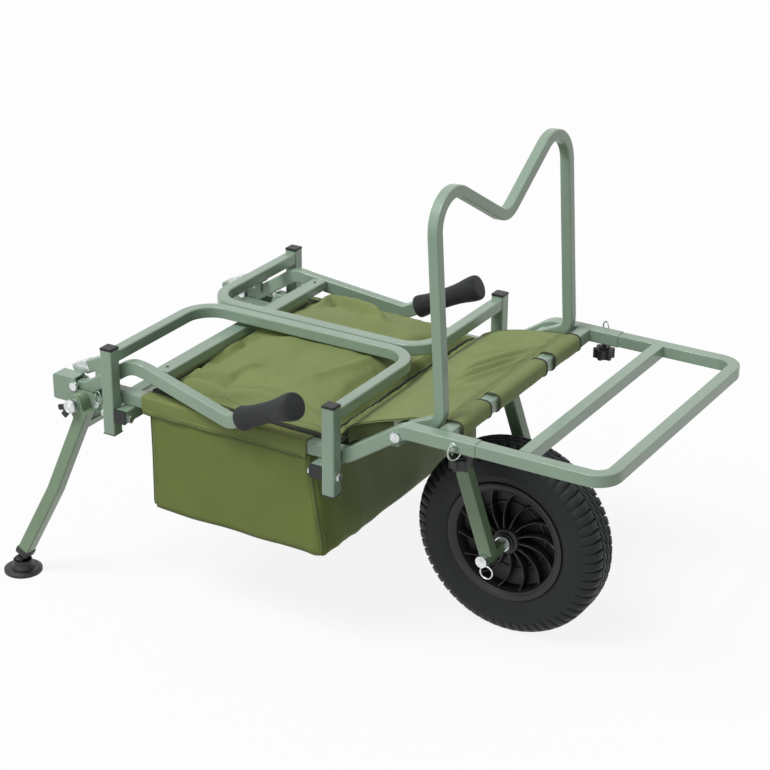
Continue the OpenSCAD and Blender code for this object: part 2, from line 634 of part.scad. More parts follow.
// ---- cloth ---------------------------------------------------------------
// closed thin solid over a grid: pts is a list of rows of top points, dz its thickness
module quilt(top, bot) {
  n = len(top);
  m = len(top[0]);
  v = concat([for (r = top) for (p = r) p], [for (r = bot) for (p = r) p]);
  o = n * m;
  f = concat(
    [for (i = [0 : n - 2]) for (j = [0 : m - 2]) [i * m + j, i * m + j + 1, (i + 1) * m + j + 1]],
    [for (i = [0 : n - 2]) for (j = [0 : m - 2]) [i * m + j, (i + 1) * m + j + 1, (i + 1) * m + j]],
    [for (i = [0 : n - 2]) for (j = [0 : m - 2]) [o + i * m + j, o + (i + 1) * m + j + 1, o + i * m + j + 1]],
    [for (i = [0 : n - 2]) for (j = [0 : m - 2]) [o + i * m + j, o + (i + 1) * m + j, o + (i + 1) * m + j + 1]],
    [for (i = [0 : n - 2]) [i * m, (i + 1) * m, o + (i + 1) * m]],
    [for (i = [0 : n - 2]) [i * m, o + (i + 1) * m, o + i * m]],
    [for (i = [0 : n - 2]) [i * m + m - 1, o + (i + 1) * m + m - 1, (i + 1) * m + m - 1]],
    [for (i = [0 : n - 2]) [i * m + m - 1, o + i * m + m - 1, o + (i + 1) * m + m - 1]],
    [for (j = [0 : m - 2]) [j, o + j, o + j + 1]],
    [for (j = [0 : m - 2]) [j, o + j + 1, j + 1]],
    [for (j = [0 : m - 2]) [(n - 1) * m + j, (n - 1) * m + j + 1, o + (n - 1) * m + j + 1]],
    [for (j = [0 : m - 2]) [(n - 1) * m + j, o + (n - 1) * m + j + 1, o + (n - 1) * m + j]]);
  polyhedron(v, f, convexity = 6);
}
function mix(a, b, t) = a + (b - a) * t;
function hill(t, k) = pow(max(0, 4 * t * (1 - t)), k);
// crown of the padded cover over the bag
function crown(u, v) = low_z + 13 + 46 * hill(u, 0.42) * hill(v, 0.45) + 5 * sin(u * 400 + 60 * v) * hill(u, 1) * hill(v, 1)
  + 3.5 * sin(v * 620 + 90 * u) * hill(u, 1) * hill(v, 1);
module cover() {
  n = 18;
  m = 24;
  x0 = bag_back + 11;
  x1 = bag_front + 18.5;
  y0 = rail_half - half - 2;
  color([0.55, 0.6, 0.36]) quilt(
    [for (i = [0 : n]) [for (j = [0 : m]) [mix(x0, x1, i / n), mix(-y0, y0, j / m), crown(i / n, j / m)]]],
    [for (i = [0 : n]) [for (j = [0 : m]) [mix(x0, x1, i / n), mix(-y0, y0, j / m), low_z + 8]]]);
}
// front sheet from the cover's zip up over the fork tube to the front cross member
function apron_z(u, v) = mix(low_z + 25, high_z + half - 1, pow(u, 0.55)) + 13 * sin(180 * u) * hill(v, 0.5)
  + 2.2 * sin(v * 1500) * sin(180 * u);
module apron() {
  n = 14;
  m = 30;
  x0 = bag_front + 19;
  x1 = cross_x - half - 2.1;
  w = rail_half - 49;
  color([0.6, 0.65, 0.42]) quilt(
    [for (i = [0 : n]) [for (j = [0 : m]) [mix(x0, x1, i / n), mix(-w, w, j / m), apron_z(i / n, j / m)]]],
    [for (i = [0 : n]) [for (j = [0 : m]) [mix(x0, x1, i / n), mix(-w, w, j / m), apron_z(i / n, j / m) - cloth]]]);
}
// hem wrapped round the front cross member, in three lengths with the two gaps seen in the photo
module hem() {
  color([0.6, 0.65, 0.42]) for (r = rail_half * [[-0.845, -0.4686], [-0.3616, 0.2970], [0.4059, 0.7897]]) difference() {
    tube_y(cross_x, high_z, r[0], r[1], tube + 2 * cloth + 0.6);
    tube_y(cross_x, high_z, r[0] - 1, r[1] + 1, tube + 0.3);
  }
}
module rail_sleeve(s) {
  color([0.5, 0.55, 0.33]) translate([bag_back - 12, s * rail_half, low_z]) rotate([90, 0, 90]) difference() {
    linear_extrude(370) section(tube + 2 * cloth + 0.6, tube + 2 * cloth + 0.6, tube_corner + cloth);
    translate([0, 0, -1]) linear_extrude(380) section(tube + 0.3, tube + 0.3, tube_corner);
  }
}
module rail_sleeve_near() { rail_sleeve(-1); }
module rail_sleeve_far() { rail_sleeve(1); }
// hanging bag: open box of cloth whose front wall leans, top edge under the rails
bag_w = rail_half + half - 0.2;
bag_top = low_z - half - 0.6 - cloth;
module bag() {
  color([0.36, 0.4, 0.2]) difference() {
    bag_block(bag_w, 0);
    bag_block(bag_w, cloth);
  }
}
module bag_block(w, t) {
  r = 16;
  k = 24;
  translate([bag_back, 0, bag_low]) rotate([90, 0, 0]) linear_extrude(2 * (w - t), center = true) difference() {
    union() {
      polygon([[t, r], [t, bag_top - bag_low + t * 4], [bag_front - bag_back - k - t, bag_top - bag_low + t * 4],
        [bag_front - bag_back - k - t, bag_top - bag_low - 25], [bag_front - bag_back - t, r + 12],
        [bag_front - bag_back - t, r], [bag_front - bag_back - r, t], [r, t]]);
      for (x = [r, bag_front - bag_back - r]) translate([x, r]) circle(r - t);
    }
  }
}

// ---- draw ----------------------------------------------------------------
side_rail_near();
side_rail_far();
front_cross_member();
fork_cross_tube();
gate_cross_tube_back();
gate_cross_tube_front();
leg_cross_tube();
tube_plugs();
bracket_near();
bracket_far();
fork_near();
fork_far();
axle();
axle_collars();
rim();
tyre();
valve();
gate_near();
gate_far();
gate_caps_near();
gate_caps_far();
gate_bolts();
guard();
guard_bolts();
rack();
rack_knob_near();
rack_knob_far();
ring_pin_near();
ring_pin_far();
handle();
stub_ends();
grip_near();
grip_far();
handle_bolts();
handle_rivets();
leg_near();
leg_far();
leg_bolt_near();
leg_bolt_far();
leg_knob_near();
leg_knob_far();
leg_stops();
leg_plug_near();
leg_plug_far();
foot_near();
foot_far();
foot_pins();
wheel_lock_pins();
bag();
cover();
apron();
rail_sleeve_near();
rail_sleeve_far();
hem();
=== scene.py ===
"""Folding one-wheel fishing trolley: finishes, cloth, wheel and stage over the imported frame."""
from math import cos, exp, hypot, pi, radians, sin

import bmesh
import bpy
from bpy.props import FloatProperty, FloatVectorProperty, IntProperty, PointerProperty
from mathutils import Matrix, Vector, noise
from mathutils.bvhtree import BVHTree


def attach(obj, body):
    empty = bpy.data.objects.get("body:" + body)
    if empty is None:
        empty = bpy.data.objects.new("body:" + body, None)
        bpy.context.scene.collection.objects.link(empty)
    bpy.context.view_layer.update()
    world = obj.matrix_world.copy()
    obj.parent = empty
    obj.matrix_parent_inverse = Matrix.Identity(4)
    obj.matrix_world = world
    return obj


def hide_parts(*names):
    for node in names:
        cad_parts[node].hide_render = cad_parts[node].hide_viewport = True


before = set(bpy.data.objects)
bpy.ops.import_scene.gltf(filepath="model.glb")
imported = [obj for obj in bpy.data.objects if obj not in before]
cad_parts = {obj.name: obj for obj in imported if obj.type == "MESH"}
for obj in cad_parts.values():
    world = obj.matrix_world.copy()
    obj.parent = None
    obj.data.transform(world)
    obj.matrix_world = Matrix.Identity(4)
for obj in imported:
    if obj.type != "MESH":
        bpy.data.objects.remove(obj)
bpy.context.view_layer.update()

MM = 0.001

bl_info = {
    "name": "Fishing trolley builder",
    "version": (1, 0, 0),
    "blender": (4, 5, 0),
    "location": "View3D > Sidebar > Trolley",
    "description": "Dresses the packed frame of a folding one-wheel fishing trolley",
    "category": "Object",
}


def shade(r, g, b):
    """A colour as seen on screen (0 to 255), in the linear numbers that shaders use."""
    return tuple((c / 255 / 12.92) if c <= 10 else ((c / 255 + 0.055) / 1.055) ** 2.4 for c in (r, g, b))


def at(x, y, z):
    """A point given in millimetres."""
    return Vector((x, y, z)) * MM


def on_side(place, side):
    """A point of the far side given in millimetres (side 1), or its twin on the near side (-1)."""
    x, y, z = place
    return at(x, y * side, z)


# the wheel's middle, and the direction of its axle
HUB = at(310, 0, 186)
ROUND = Vector((0, 1, 0))


# Sizes and colours that a user would change
class TrolleyFinish(bpy.types.PropertyGroup):
    coat: FloatVectorProperty(
        name="Powder coat", description="Colour of the coated tubes", subtype="COLOR",
        size=3, min=0, max=1, default=shade(135, 157, 139))
    canvas: FloatVectorProperty(
        name="Canvas", description="Colour of the bag, cover and front sheet", subtype="COLOR",
        size=3, min=0, max=1, default=shade(119, 130, 76))
    tape: FloatVectorProperty(
        name="Binding", description="Colour of seam binding and thread", subtype="COLOR",
        size=3, min=0, max=1, default=shade(78, 86, 47))
    rubber: FloatVectorProperty(
        name="Rubber", description="Colour of the tyre", subtype="COLOR",
        size=3, min=0, max=1, default=shade(25, 28, 29))


class TrolleyCloth(bpy.types.PropertyGroup):
    thickness: FloatProperty(
        name="Cloth", description="Thickness of the canvas", unit="LENGTH", subtype="DISTANCE",
        min=0.0005, max=0.004, default=0.0014)
    piping: FloatProperty(
        name="Piping", description="Radius of the piped edges", unit="LENGTH", subtype="DISTANCE",
        min=0.001, max=0.005, default=0.0024)
    stitch: FloatProperty(
        name="Stitch", description="Pitch of the seams' stitches", unit="LENGTH", subtype="DISTANCE",
        min=0.002, max=0.01, default=0.0048)
    puff: FloatProperty(
        name="Puff", description="Furthest that the cover's cloth may swell", unit="LENGTH",
        subtype="DISTANCE", min=0, max=0.03, default=0.013)


class TrolleyWheel(bpy.types.PropertyGroup):
    lugs: IntProperty(
        name="Lugs", description="Tread lugs in one row round the tyre", min=20, max=90, default=60)
    spokes: IntProperty(
        name="Spokes", description="Curved spokes of the rim", min=6, max=24, default=14)


# Shaders
class Signal:
    """One socket's value, with arithmetic that adds Math nodes."""

    def __init__(self, paint, socket):
        self.paint = paint
        self.socket = socket

    def maths(self, operation, *others):
        return self.paint.node("ShaderNodeMath", {"operation": operation}, dict(enumerate((self, *others))))

    def __add__(self, other):
        return self.maths("ADD", other)

    def __sub__(self, other):
        return self.maths("SUBTRACT", other)

    def __mul__(self, other):
        return self.maths("MULTIPLY", other)

    def sine(self):
        return self.maths("SINE")

    def over(self, other):
        """The larger of two values."""
        return self.maths("MAXIMUM", other)

    def size(self):
        """The value without its sign."""
        return self.maths("ABSOLUTE")

    def ramp(self, low, high, start=0.0, end=1.0):
        """Maps low..high to start..end, held at both ends."""
        return self.paint.node(
            "ShaderNodeMapRange", {"clamp": True}, {0: self, 1: low, 2: high, 3: start, 4: end})


class Paint:
    """A material, or the world, under construction."""

    def __init__(self, name, world=None):
        self.material = world or bpy.data.materials.new(name)
        self.material.use_nodes = True
        self.tree = self.material.node_tree
        self.tree.nodes.clear()
        self.out = self.tree.nodes.new("ShaderNodeOutputWorld" if world else "ShaderNodeOutputMaterial")

    def node(self, kind, settings=None, sockets=None, output=0):
        """Adds a node: its settings first, then its sockets' values or links."""
        made = self.tree.nodes.new(kind)
        for key, value in (settings or {}).items():
            setattr(made, key, value)
        for key, value in (sockets or {}).items():
            if isinstance(value, Signal):
                self.tree.links.new(value.socket, made.inputs[key])
            else:
                made.inputs[key].default_value = value
        return Signal(self, made.outputs[output])

    def place(self):
        return self.node("ShaderNodeTexCoord", output="Object")

    def uv(self):
        return self.node("ShaderNodeTexCoord", output="UV")

    def cloud(self, where, scale, detail=2.0, rough=0.5):
        return self.node("ShaderNodeTexNoise", None, {
            "Vector": where, "Scale": scale, "Detail": detail, "Roughness": rough})

    def cells(self, where, scale):
        return self.node("ShaderNodeTexVoronoi", None, {"Vector": where, "Scale": scale})

    def parts(self, where):
        """The three numbers of a vector."""
        made = self.tree.nodes.new("ShaderNodeSeparateXYZ")
        self.tree.links.new(where.socket, made.inputs[0])
        return [Signal(self, s) for s in made.outputs]

    def blend(self, amount, one, two):
        """Colour one going to colour two."""
        one, two = [c if isinstance(c, Signal) else (*c, 1.0) for c in (one, two)]
        return self.node("ShaderNodeMix", {"data_type": "RGBA"}, {0: amount, 6: one, 7: two}, 2)

    def bump(self, height, depth, strength, under=None):
        sockets = {"Height": height, "Distance": depth, "Strength": strength}
        if under is not None:
            sockets["Normal"] = under
        return self.node("ShaderNodeBump", None, sockets)

    def gloss(self, **sockets):
        """The surface shader; what is the same all over sits on its own socket."""
        names = {"colour": "Base Color", "rough": "Roughness", "metal": "Metallic", "normal": "Normal",
                 "coat": "Coat Weight", "coat_rough": "Coat Roughness", "sheen": "Sheen Weight",
                 "sheen_rough": "Sheen Roughness", "sheen_tint": "Sheen Tint", "level": "Specular IOR Level"}
        values = {}
        for key, value in sockets.items():
            if isinstance(value, tuple) and len(value) == 3:
                value = (*value, 1.0)
            values[names[key]] = value
        shader = self.node("ShaderNodeBsdfPrincipled", None, values)
        self.tree.links.new(shader.socket, self.out.inputs[0])
        return self.material


FINISH = {}


def finish(name):
    """A finish by name, made when it is first asked for."""
    if name not in FINISH:
        FINISH[name] = MAKERS[name]()
    return FINISH[name]


def scaled(colour, k):
    """A colour made lighter or darker."""
    return tuple(min(1.0, c * k) for c in colour)


def powder_coat(name="sage_powder_coat", tint=(1.0, 1.0, 1.0)):
    p = Paint(name)
    base = tuple(c * t for c, t in zip(bpy.context.scene.trolley_finish.coat, tint))
    where = p.place()
    cloud = p.cloud(where, 7, 3).ramp(0.35, 0.65)
    peel = p.cloud(where, 520, 1.5, 0.4)
    fleck = p.cloud(where, 2600, 0.5)
    rub = p.cloud(where, 34, 5, 0.62).ramp(0.66, 0.74) * p.cloud(where, 260, 3).ramp(0.45, 0.62)
    colour = p.blend(cloud, scaled(base, 0.95), scaled(base, 1.05))
    colour = p.blend(fleck.ramp(0.5, 0.72) * 0.28, colour, scaled(base, 1.7))
    colour = p.blend(rub * 0.4, colour, shade(176, 186, 178))
    rough = peel.ramp(0.3, 0.7, 0.34, 0.46) + rub * 0.18
    return p.gloss(colour=colour, rough=rough, metal=0.0, level=0.5, coat=0.5, coat_rough=0.16,
                   normal=p.bump(peel, 0.00022, 0.5))


def bright_zinc():
    p = Paint("bright_zinc_plate")
    where = p.place()
    stain = p.cloud(where, 90, 4)
    turned = p.cloud(where, 1400, 1)
    colour = p.blend(stain.ramp(0.42, 0.66), shade(226, 229, 230), shade(190, 195, 196))
    return p.gloss(colour=colour, rough=stain.ramp(0.3, 0.7, 0.2, 0.38), metal=1.0,
                   normal=p.bump(turned, 0.00008, 0.4))


def dull_zinc():
    """Zinc that has greyed, with a faint green painted in as a reflection of the coat round it."""
    p = Paint("greyed_zinc_plate")
    where = p.place()
    stain = p.cloud(where, 160, 4)
    colour = p.blend(stain.ramp(0.36, 0.64), shade(196, 208, 198), shade(138, 152, 142))
    return p.gloss(colour=colour, rough=stain.ramp(0.3, 0.7, 0.3, 0.48), metal=0.85,
                   normal=p.bump(p.cloud(where, 1300, 1), 0.00008, 0.4))


def dark_steel():
    p = Paint("dark_rivet_steel")
    stain = p.cloud(p.place(), 200, 3)
    colour = p.blend(stain, shade(66, 74, 68), shade(96, 104, 98))
    return p.gloss(colour=colour, rough=stain.ramp(0.3, 0.7, 0.3, 0.5), metal=0.7)


def black_plastic():
    p = Paint("moulded_black_plastic")
    where = p.place()
    grain = p.cloud(where, 1500, 2)
    cloud = p.cloud(where, 26, 3)
    scuff = p.cloud(where, 120, 5, 0.65).ramp(0.62, 0.74)
    colour = p.blend(cloud, shade(17, 18, 19), shade(27, 28, 29))
    colour = p.blend(scuff * 0.35, colour, shade(84, 86, 86))
    return p.gloss(colour=colour, rough=grain.ramp(0.3, 0.7, 0.36, 0.5) + scuff * 0.15,
                   normal=p.bump(grain, 0.00012, 0.5))


def from_axle(x, z):
    """Distance in metres from the axle's line, out of the x and z of a place."""
    along, up = x - HUB.x, z - HUB.z
    return (along * along + up * up).maths("SQRT")


def rim_plastic():
    p = Paint("moulded_rim_plastic")
    where = p.place()
    grain = p.cloud(where, 900, 2)
    cloud = p.cloud(where, 18, 3)
    dust = p.cloud(where, 60, 5, 0.6).ramp(0.52, 0.74)
    colour = p.blend(cloud, shade(13, 14, 14), shade(20, 20, 20))
    colour = p.blend(dust * 0.1, colour, shade(96, 93, 88))
    x, y, z = p.parts(where)
    out = from_axle(x, z)
    # painted shade: black deep inside the barrel, and painted highlight: paler outer edges on the spokes
    inside = out.ramp(0.0975, 0.1) * -1 + 1
    colour = p.blend(inside * y.size().ramp(0.0225, 0.012), colour, shade(7, 7, 7))
    painted_highlight = inside * out.ramp(0.026, 0.03) * y.size().ramp(0.0238, 0.0252)
    colour = p.blend(painted_highlight, colour, shade(66, 62, 59))
    return p.gloss(colour=colour, rough=grain.ramp(0.3, 0.7, 0.38, 0.52) + dust * 0.14,
                   normal=p.bump(grain, 0.00016, 0.6))


def grip_foam():
    p = Paint("closed_cell_grip_foam")
    where = p.place()
    pores = p.cells(where, 1250)
    cloud = p.cloud(where, 55, 4)
    colour = p.blend(cloud, shade(19, 21, 22), shade(29, 31, 33))
    colour = p.blend(pores.ramp(0.0, 0.35, 0.4, 0.0), colour, shade(12, 13, 14))
    return p.gloss(colour=colour, rough=cloud.ramp(0.3, 0.7, 0.74, 0.9), sheen=0.1, sheen_rough=0.5,
                   normal=p.bump(pores.ramp(0.0, 0.5), 0.0003, 0.7))


def tyre_rubber():
    p = Paint("tyre_rubber")
    base = tuple(bpy.context.scene.trolley_finish.rubber)
    where = p.place()
    grain = p.cloud(where, 800, 3)
    cloud = p.cloud(where, 14, 4)
    dust = p.cloud(where, 75, 6, 0.7).ramp(0.55, 0.78)
    x, _, z = p.parts(where)
    # painted highlight: the tread's outer rim turns a paler bluish grey, as a sheen; the random dust takes
    # the same colour
    painted_highlight = from_axle(x, z).ramp(0.181, 0.187)
    colour = p.blend(cloud, scaled(base, 0.8), scaled(base, 1.2))
    colour = p.blend(painted_highlight * 0.22 + dust * 0.14, colour, shade(92, 98, 104))
    return p.gloss(colour=colour, rough=grain.ramp(0.3, 0.7, 0.5, 0.62) + dust * 0.12, level=0.32,
                   normal=p.bump(grain, 0.0002, 0.6))


# pitch of the canvas's threads in metres
WEAVE = 0.0011


def canvas_of(name, tint, painted_light=0.0):
    """Woven canvas: threads by the piece's own UV, clouds by its place."""
    p = Paint(name)
    base = tuple(c * t for c, t in zip(bpy.context.scene.trolley_finish.canvas, tint))
    where, cloth = p.place(), p.uv()
    u, v, _ = p.parts(cloth)
    turn = pi / WEAVE
    thread = (u * turn).sine() * (v * turn).sine()
    slub = p.cloud(cloth, 420, 2)
    cloud = p.cloud(where, 11, 4, 0.55)
    crease = p.cloud(where, 38, 5, 0.6)
    colour = p.blend(cloud.ramp(0.3, 0.7), scaled(base, 0.9), scaled(base, 1.1))
    colour = p.blend(thread.ramp(-1, 1) * 0.16, colour, scaled(base, 1.55))
    colour = p.blend(slub.ramp(0.56, 0.7) * 0.18, colour, scaled(base, 0.62))
    if painted_light:
        # painted light: paler streaks on the bag's front wall by the wheel, where light falls
        x, y, _ = p.parts(where)
        streak = (y * 64 + crease * 7).sine().ramp(-1, 1, 0.8, 1.0)
        reach = x.ramp(0.02, 0.05) * y.ramp(-0.25, -0.12)
        colour = p.blend(reach * streak * painted_light, colour, shade(150, 160, 134))
    soft = p.bump(crease, 0.0016, 0.35)
    return p.gloss(colour=colour, rough=cloud.ramp(0.3, 0.7, 0.6, 0.74), sheen=0.14, sheen_rough=0.45,
                   sheen_tint=(0.85, 0.9, 0.7), level=0.35, normal=p.bump(thread, 0.00022, 0.5, soft))


def binding_tape():
    p = Paint("binding_tape")
    base = tuple(bpy.context.scene.trolley_finish.tape)
    where = p.place()
    rib = p.cloud(where, 1100, 2)
    cloud = p.cloud(where, 30, 3)
    colour = p.blend(cloud, scaled(base, 0.8), scaled(base, 1.25))
    return p.gloss(colour=colour, rough=rib.ramp(0.3, 0.7, 0.7, 0.85), sheen=0.15,
                   normal=p.bump(rib, 0.0003, 0.6))


def seam_thread():
    p = Paint("seam_thread")
    base = tuple(bpy.context.scene.trolley_finish.tape)
    twist = p.cloud(p.place(), 1800, 2)
    colour = p.blend(twist, scaled(base, 0.45), scaled(base, 0.85))
    return p.gloss(colour=colour, rough=twist.ramp(0.3, 0.7, 0.55, 0.75), normal=p.bump(twist, 0.0002, 0.5))


def dark_webbing():
    p = Paint("dark_webbing")
    cloth = p.uv()
    u, v, _ = p.parts(cloth)
    rib = (u * (pi / 0.0009)).sine() * (v * (pi / 0.0013)).sine()
    colour = p.blend(rib.ramp(-1, 1), shade(26, 28, 24), shade(48, 50, 44))
    return p.gloss(colour=colour, rough=p.cloud(p.place(), 400, 2).ramp(0.3, 0.7, 0.68, 0.82),
                   normal=p.bump(rib, 0.0003, 0.7))


MAKERS = {
    # the second coat is the same paint made darker and greener: painted shade for the forks and legs
    "coat": powder_coat, "painted_shade_coat": lambda: powder_coat("sage_powder_coat_painted_shade", (0.72, 0.78, 0.62)),
    "zinc": bright_zinc, "dull_zinc": dull_zinc, "rivet": dark_steel, "plastic": black_plastic,
    "rim": rim_plastic, "foam": grip_foam, "rubber": tyre_rubber, "tape": binding_tape,
    "thread": seam_thread, "webbing": dark_webbing,
    "canvas": lambda: canvas_of("olive_canvas", (1.0, 0.99, 0.95)),
    "cover": lambda: canvas_of("olive_canvas_cover", (1.04, 1.06, 1.12)),
    "sheet": lambda: canvas_of("olive_canvas_front", (1.1, 1.12, 1.3)),
    # the bag's copy paints paler streaks of light on its front wall
    "bag": lambda: canvas_of("olive_canvas_bag", (0.78, 0.8, 0.6), painted_light=0.62),
}


# Making pieces
def piece(bm, name, look, body="frame", replaces=(), sharp=38, woven=False):
    """Turns a bmesh into a finished piece that rides on a body."""
    bm.normal_update()
    if woven:
        lay_threads(bm)
    mesh = bpy.data.meshes.new(name)
    bm.to_mesh(mesh)
    bm.free()
    made = bpy.data.objects.new(name, mesh)
    bpy.context.scene.collection.objects.link(made)
    mesh.polygons.foreach_set("use_smooth", [True] * len(mesh.polygons))
    mesh.set_sharp_from_angle(angle=radians(sharp))
    mesh.materials.append(finish(look))
    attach(made, body)
    if replaces:
        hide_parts(*replaces)
    return made


def lay_threads(bm):
    """UVs in metres, each face seen along the axis that it faces most."""
    layer = bm.loops.layers.uv.get("UVMap") or bm.loops.layers.uv.new("UVMap")
    for face in bm.faces:
        n = face.normal
        axis = max(range(3), key=lambda k: abs(n[k]))
        i, j = ((1, 2), (0, 2), (0, 1))[axis]
        for loop in face.loops:
            loop[layer].uv = (loop.vert.co[i], loop.vert.co[j])


def add_rod(bm, points, radius, closed=False, sides=8, radii=None):
    """Adds a round rod that follows the points."""
    curve = bpy.data.curves.new("rod", "CURVE")
    curve.dimensions = "3D"
    spline = curve.splines.new("POLY")
    spline.points.add(len(points) - 1)
    for k, (knot, point) in enumerate(zip(spline.points, points)):
        knot.co = (*point, 1)
        knot.radius = radii[k] if radii else 1
    spline.use_cyclic_u = closed
    curve.bevel_depth = radius
    curve.bevel_resolution = max(0, sides // 2 - 2)
    curve.use_fill_caps = not closed
    holder = bpy.data.objects.new("rod", curve)
    mesh = bpy.data.meshes.new_from_object(holder)
    bm.from_mesh(mesh)
    bpy.data.objects.remove(holder)
    bpy.data.meshes.remove(mesh)
    bpy.data.curves.remove(curve)


def along(points, pitch):
    """Points and directions at an even pitch along a line of points."""
    left, made = 0.0, []
    for a, b in zip(points, points[1:]):
        span = (b - a).length
        if span < 1e-9:
            continue
        way = (b - a) / span
        while left <= span:
            made.append((a + way * left, way))
            left += pitch
        left -= span
    return made


# radius of the sewing thread in metres
THREAD = 0.0005


def add_stitches(bm, points, facing):
    """Adds a row of thread stitches along the points, lying on a surface that faces a way."""
    pitch = bpy.context.scene.trolley_cloth.stitch
    up = None if callable(facing) else Vector(facing).normalized()
    for spot, way in along(points, pitch):
        n = up or facing(spot)
        side = way.cross(n).normalized()
        n = side.cross(way).normalized()
        turn = Matrix((way, side, n)).transposed().to_4x4()
        size = Matrix.Diagonal((pitch * 0.36, THREAD * 1.25, THREAD, 1))
        place = Matrix.Translation(spot) @ turn @ size
        bmesh.ops.create_icosphere(bm, subdivisions=1, radius=1, matrix=place)


def revolve(bm, outline, centre, axis, steps, closed=True):
    """Spins an outline of (radius, offset along the axis) in millimetres round an axis through centre."""
    axis = Vector(axis).normalized()
    side = Vector((0, 0, 1)) if abs(axis.z) < 0.9 else Vector((1, 0, 0))
    side = (side - axis * side.dot(axis)).normalized()
    verts = [bm.verts.new(centre + side * (r * MM) + axis * (t * MM)) for r, t in outline]
    edges = [bm.edges.new((a, b)) for a, b in zip(verts, verts[1:])]
    if closed:
        edges.append(bm.edges.new((verts[-1], verts[0])))
    bmesh.ops.spin(bm, geom=verts + edges, cent=centre, axis=axis, dvec=(0, 0, 0), angle=2 * pi,
                   steps=steps, use_merge=True, use_duplicate=False)


def grid(bm, along_x, along_y):
    """Adds a flat grid, and gives each of its vertices with its place on it, 0 to 1 both ways."""
    made = bmesh.ops.create_grid(bm, x_segments=along_x, y_segments=along_y, size=0.5)["verts"]
    return [(v, v.co.x + 0.5, v.co.y + 0.5) for v in made]


def tidy(bm, near=1e-6):
    """Welds vertices that lie together and turns the faces outward."""
    bmesh.ops.remove_doubles(bm, verts=bm.verts[:], dist=near)
    bmesh.ops.recalc_face_normals(bm, faces=bm.faces[:])


def soften(bm, edges, offset, segments):
    """Bevels edges by an offset in metres."""
    bmesh.ops.bevel(bm, geom=edges, offset=offset, offset_type="OFFSET", segments=segments, profile=0.5,
                    affect="EDGES", material=-1)


def add_block(bm, size, place, bevel, segments=2):
    """A block with softened edges; place is its matrix, size its three sides."""
    made = bmesh.ops.create_cube(bm, size=1, matrix=place @ Matrix.Diagonal((*size, 1)))
    soften(bm, list({e for v in made["verts"] for e in v.link_edges}), bevel, segments)


def rounded(half, corner):
    """The outline of a rounded square, anticlockwise."""
    made = []
    steps = 5
    for k, (sa, sb) in enumerate(((1, 1), (-1, 1), (-1, -1), (1, -1))):
        for i in range(steps + 1):
            t = (k + i / steps) * pi / 2
            made.append((sa * (half - corner) + corner * cos(t), sb * (half - corner) + corner * sin(t)))
    return made


def thicken(obj, thickness=None):
    """Gives a piece of cloth its thickness, behind the side that shows."""
    wall = obj.modifiers.new("wall", "SOLIDIFY")
    wall.thickness = thickness or bpy.context.scene.trolley_cloth.thickness
    wall.offset = -1


def frame_of(way, up):
    """A turn whose X runs along way and whose Z leans to up."""
    x = Vector(way).normalized()
    y = Vector(up).cross(x).normalized()
    return Matrix((x, y, x.cross(y))).transposed().to_4x4()


class Skin:
    """Finds a finished cloth piece's surface, so that seams lie on it."""

    def __init__(self, obj):
        bpy.context.view_layer.update()
        self.tree = BVHTree.FromObject(obj, bpy.context.evaluated_depsgraph_get())

    def top(self, x, y, lift=0.0):
        """The surface under a place in millimetres, or lift metres off it."""
        spot, normal, _, _ = self.tree.ray_cast(Vector((x * MM, y * MM, 1.0)), Vector((0, 0, -1)))
        if spot is None:
            spot, normal, _, _ = self.tree.find_nearest(Vector((x * MM, y * MM, 0.45)))
        return spot + normal * lift

    def side(self, start, way, lift):
        """The surface met from start along way, or lift metres off it."""
        spot, normal, _, _ = self.tree.ray_cast(Vector(start), Vector(way).normalized())
        if spot is None:
            spot, normal, _, _ = self.tree.find_nearest(Vector(start))
        return spot + normal * lift

    def facing(self, spot):
        return self.tree.find_nearest(spot)[1]


def hill(t, k):
    """1 halfway and 0 at both ends of 0 to 1; the smaller k, the flatter its top."""
    return max(0.0, 4 * t * (1 - t)) ** k


def mix(a, b, t):
    return a + (b - a) * t


def ridge(t, centre, width):
    """A soft bump, 1 at its centre."""
    return exp(-((t - centre) / width) ** 2)


def drawn(x, y, line):
    """Distance in millimetres from a point to a line of (x, y) points, and how far along it lies (0 to 1)."""
    best, where = 1e9, 0.0
    for k, ((ax, ay), (bx, by)) in enumerate(zip(line, line[1:])):
        dx, dy = bx - ax, by - ay
        t = min(1.0, max(0.0, ((x - ax) * dx + (y - ay) * dy) / (dx * dx + dy * dy)))
        d = hypot(x - ax - dx * t, y - ay - dy * t)
        if d < best:
            best, where = d, (k + t) / (len(line) - 1)
    return best, where


def folded(x, y, folds):
    """Sum of soft folds: each is (height, width, line of points)."""
    rise = 0.0
    for height, width, line in folds:
        d, t = drawn(x, y, line)
        if d < 3.2 * width:
            rise += height * exp(-(d / width) ** 2) * min(1.0, 0.25 + 5 * t * (1 - t))
    return rise


# Tubes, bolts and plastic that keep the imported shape
COATED = ["side_rail_near", "side_rail_far", "front_cross_member", "fork_cross_tube", "gate_cross_tube_back",
          "gate_cross_tube_front", "leg_cross_tube", "bracket_near", "bracket_far", "gate_near", "gate_far",
          "guard", "rack", "handle"]
# forks and legs take a darker, greener copy of the same coat, as painted shade
SHADE_PAINTED_COATED = ["fork_near", "fork_far", "leg_near", "leg_far"]
PLATED = ["axle", "axle_collars", "gate_bolts", "guard_bolts", "handle_bolts", "leg_bolt_near",
          "leg_bolt_far", "leg_stops", "wheel_lock_pins"]
RIVETS = ["handle_rivets", "foot_pins"]
MOULDED = ["tube_plugs", "gate_caps_near", "gate_caps_far", "leg_plug_near", "leg_plug_far", "valve",
           "rack_knob_near", "rack_knob_far", "foot_near", "foot_far"]

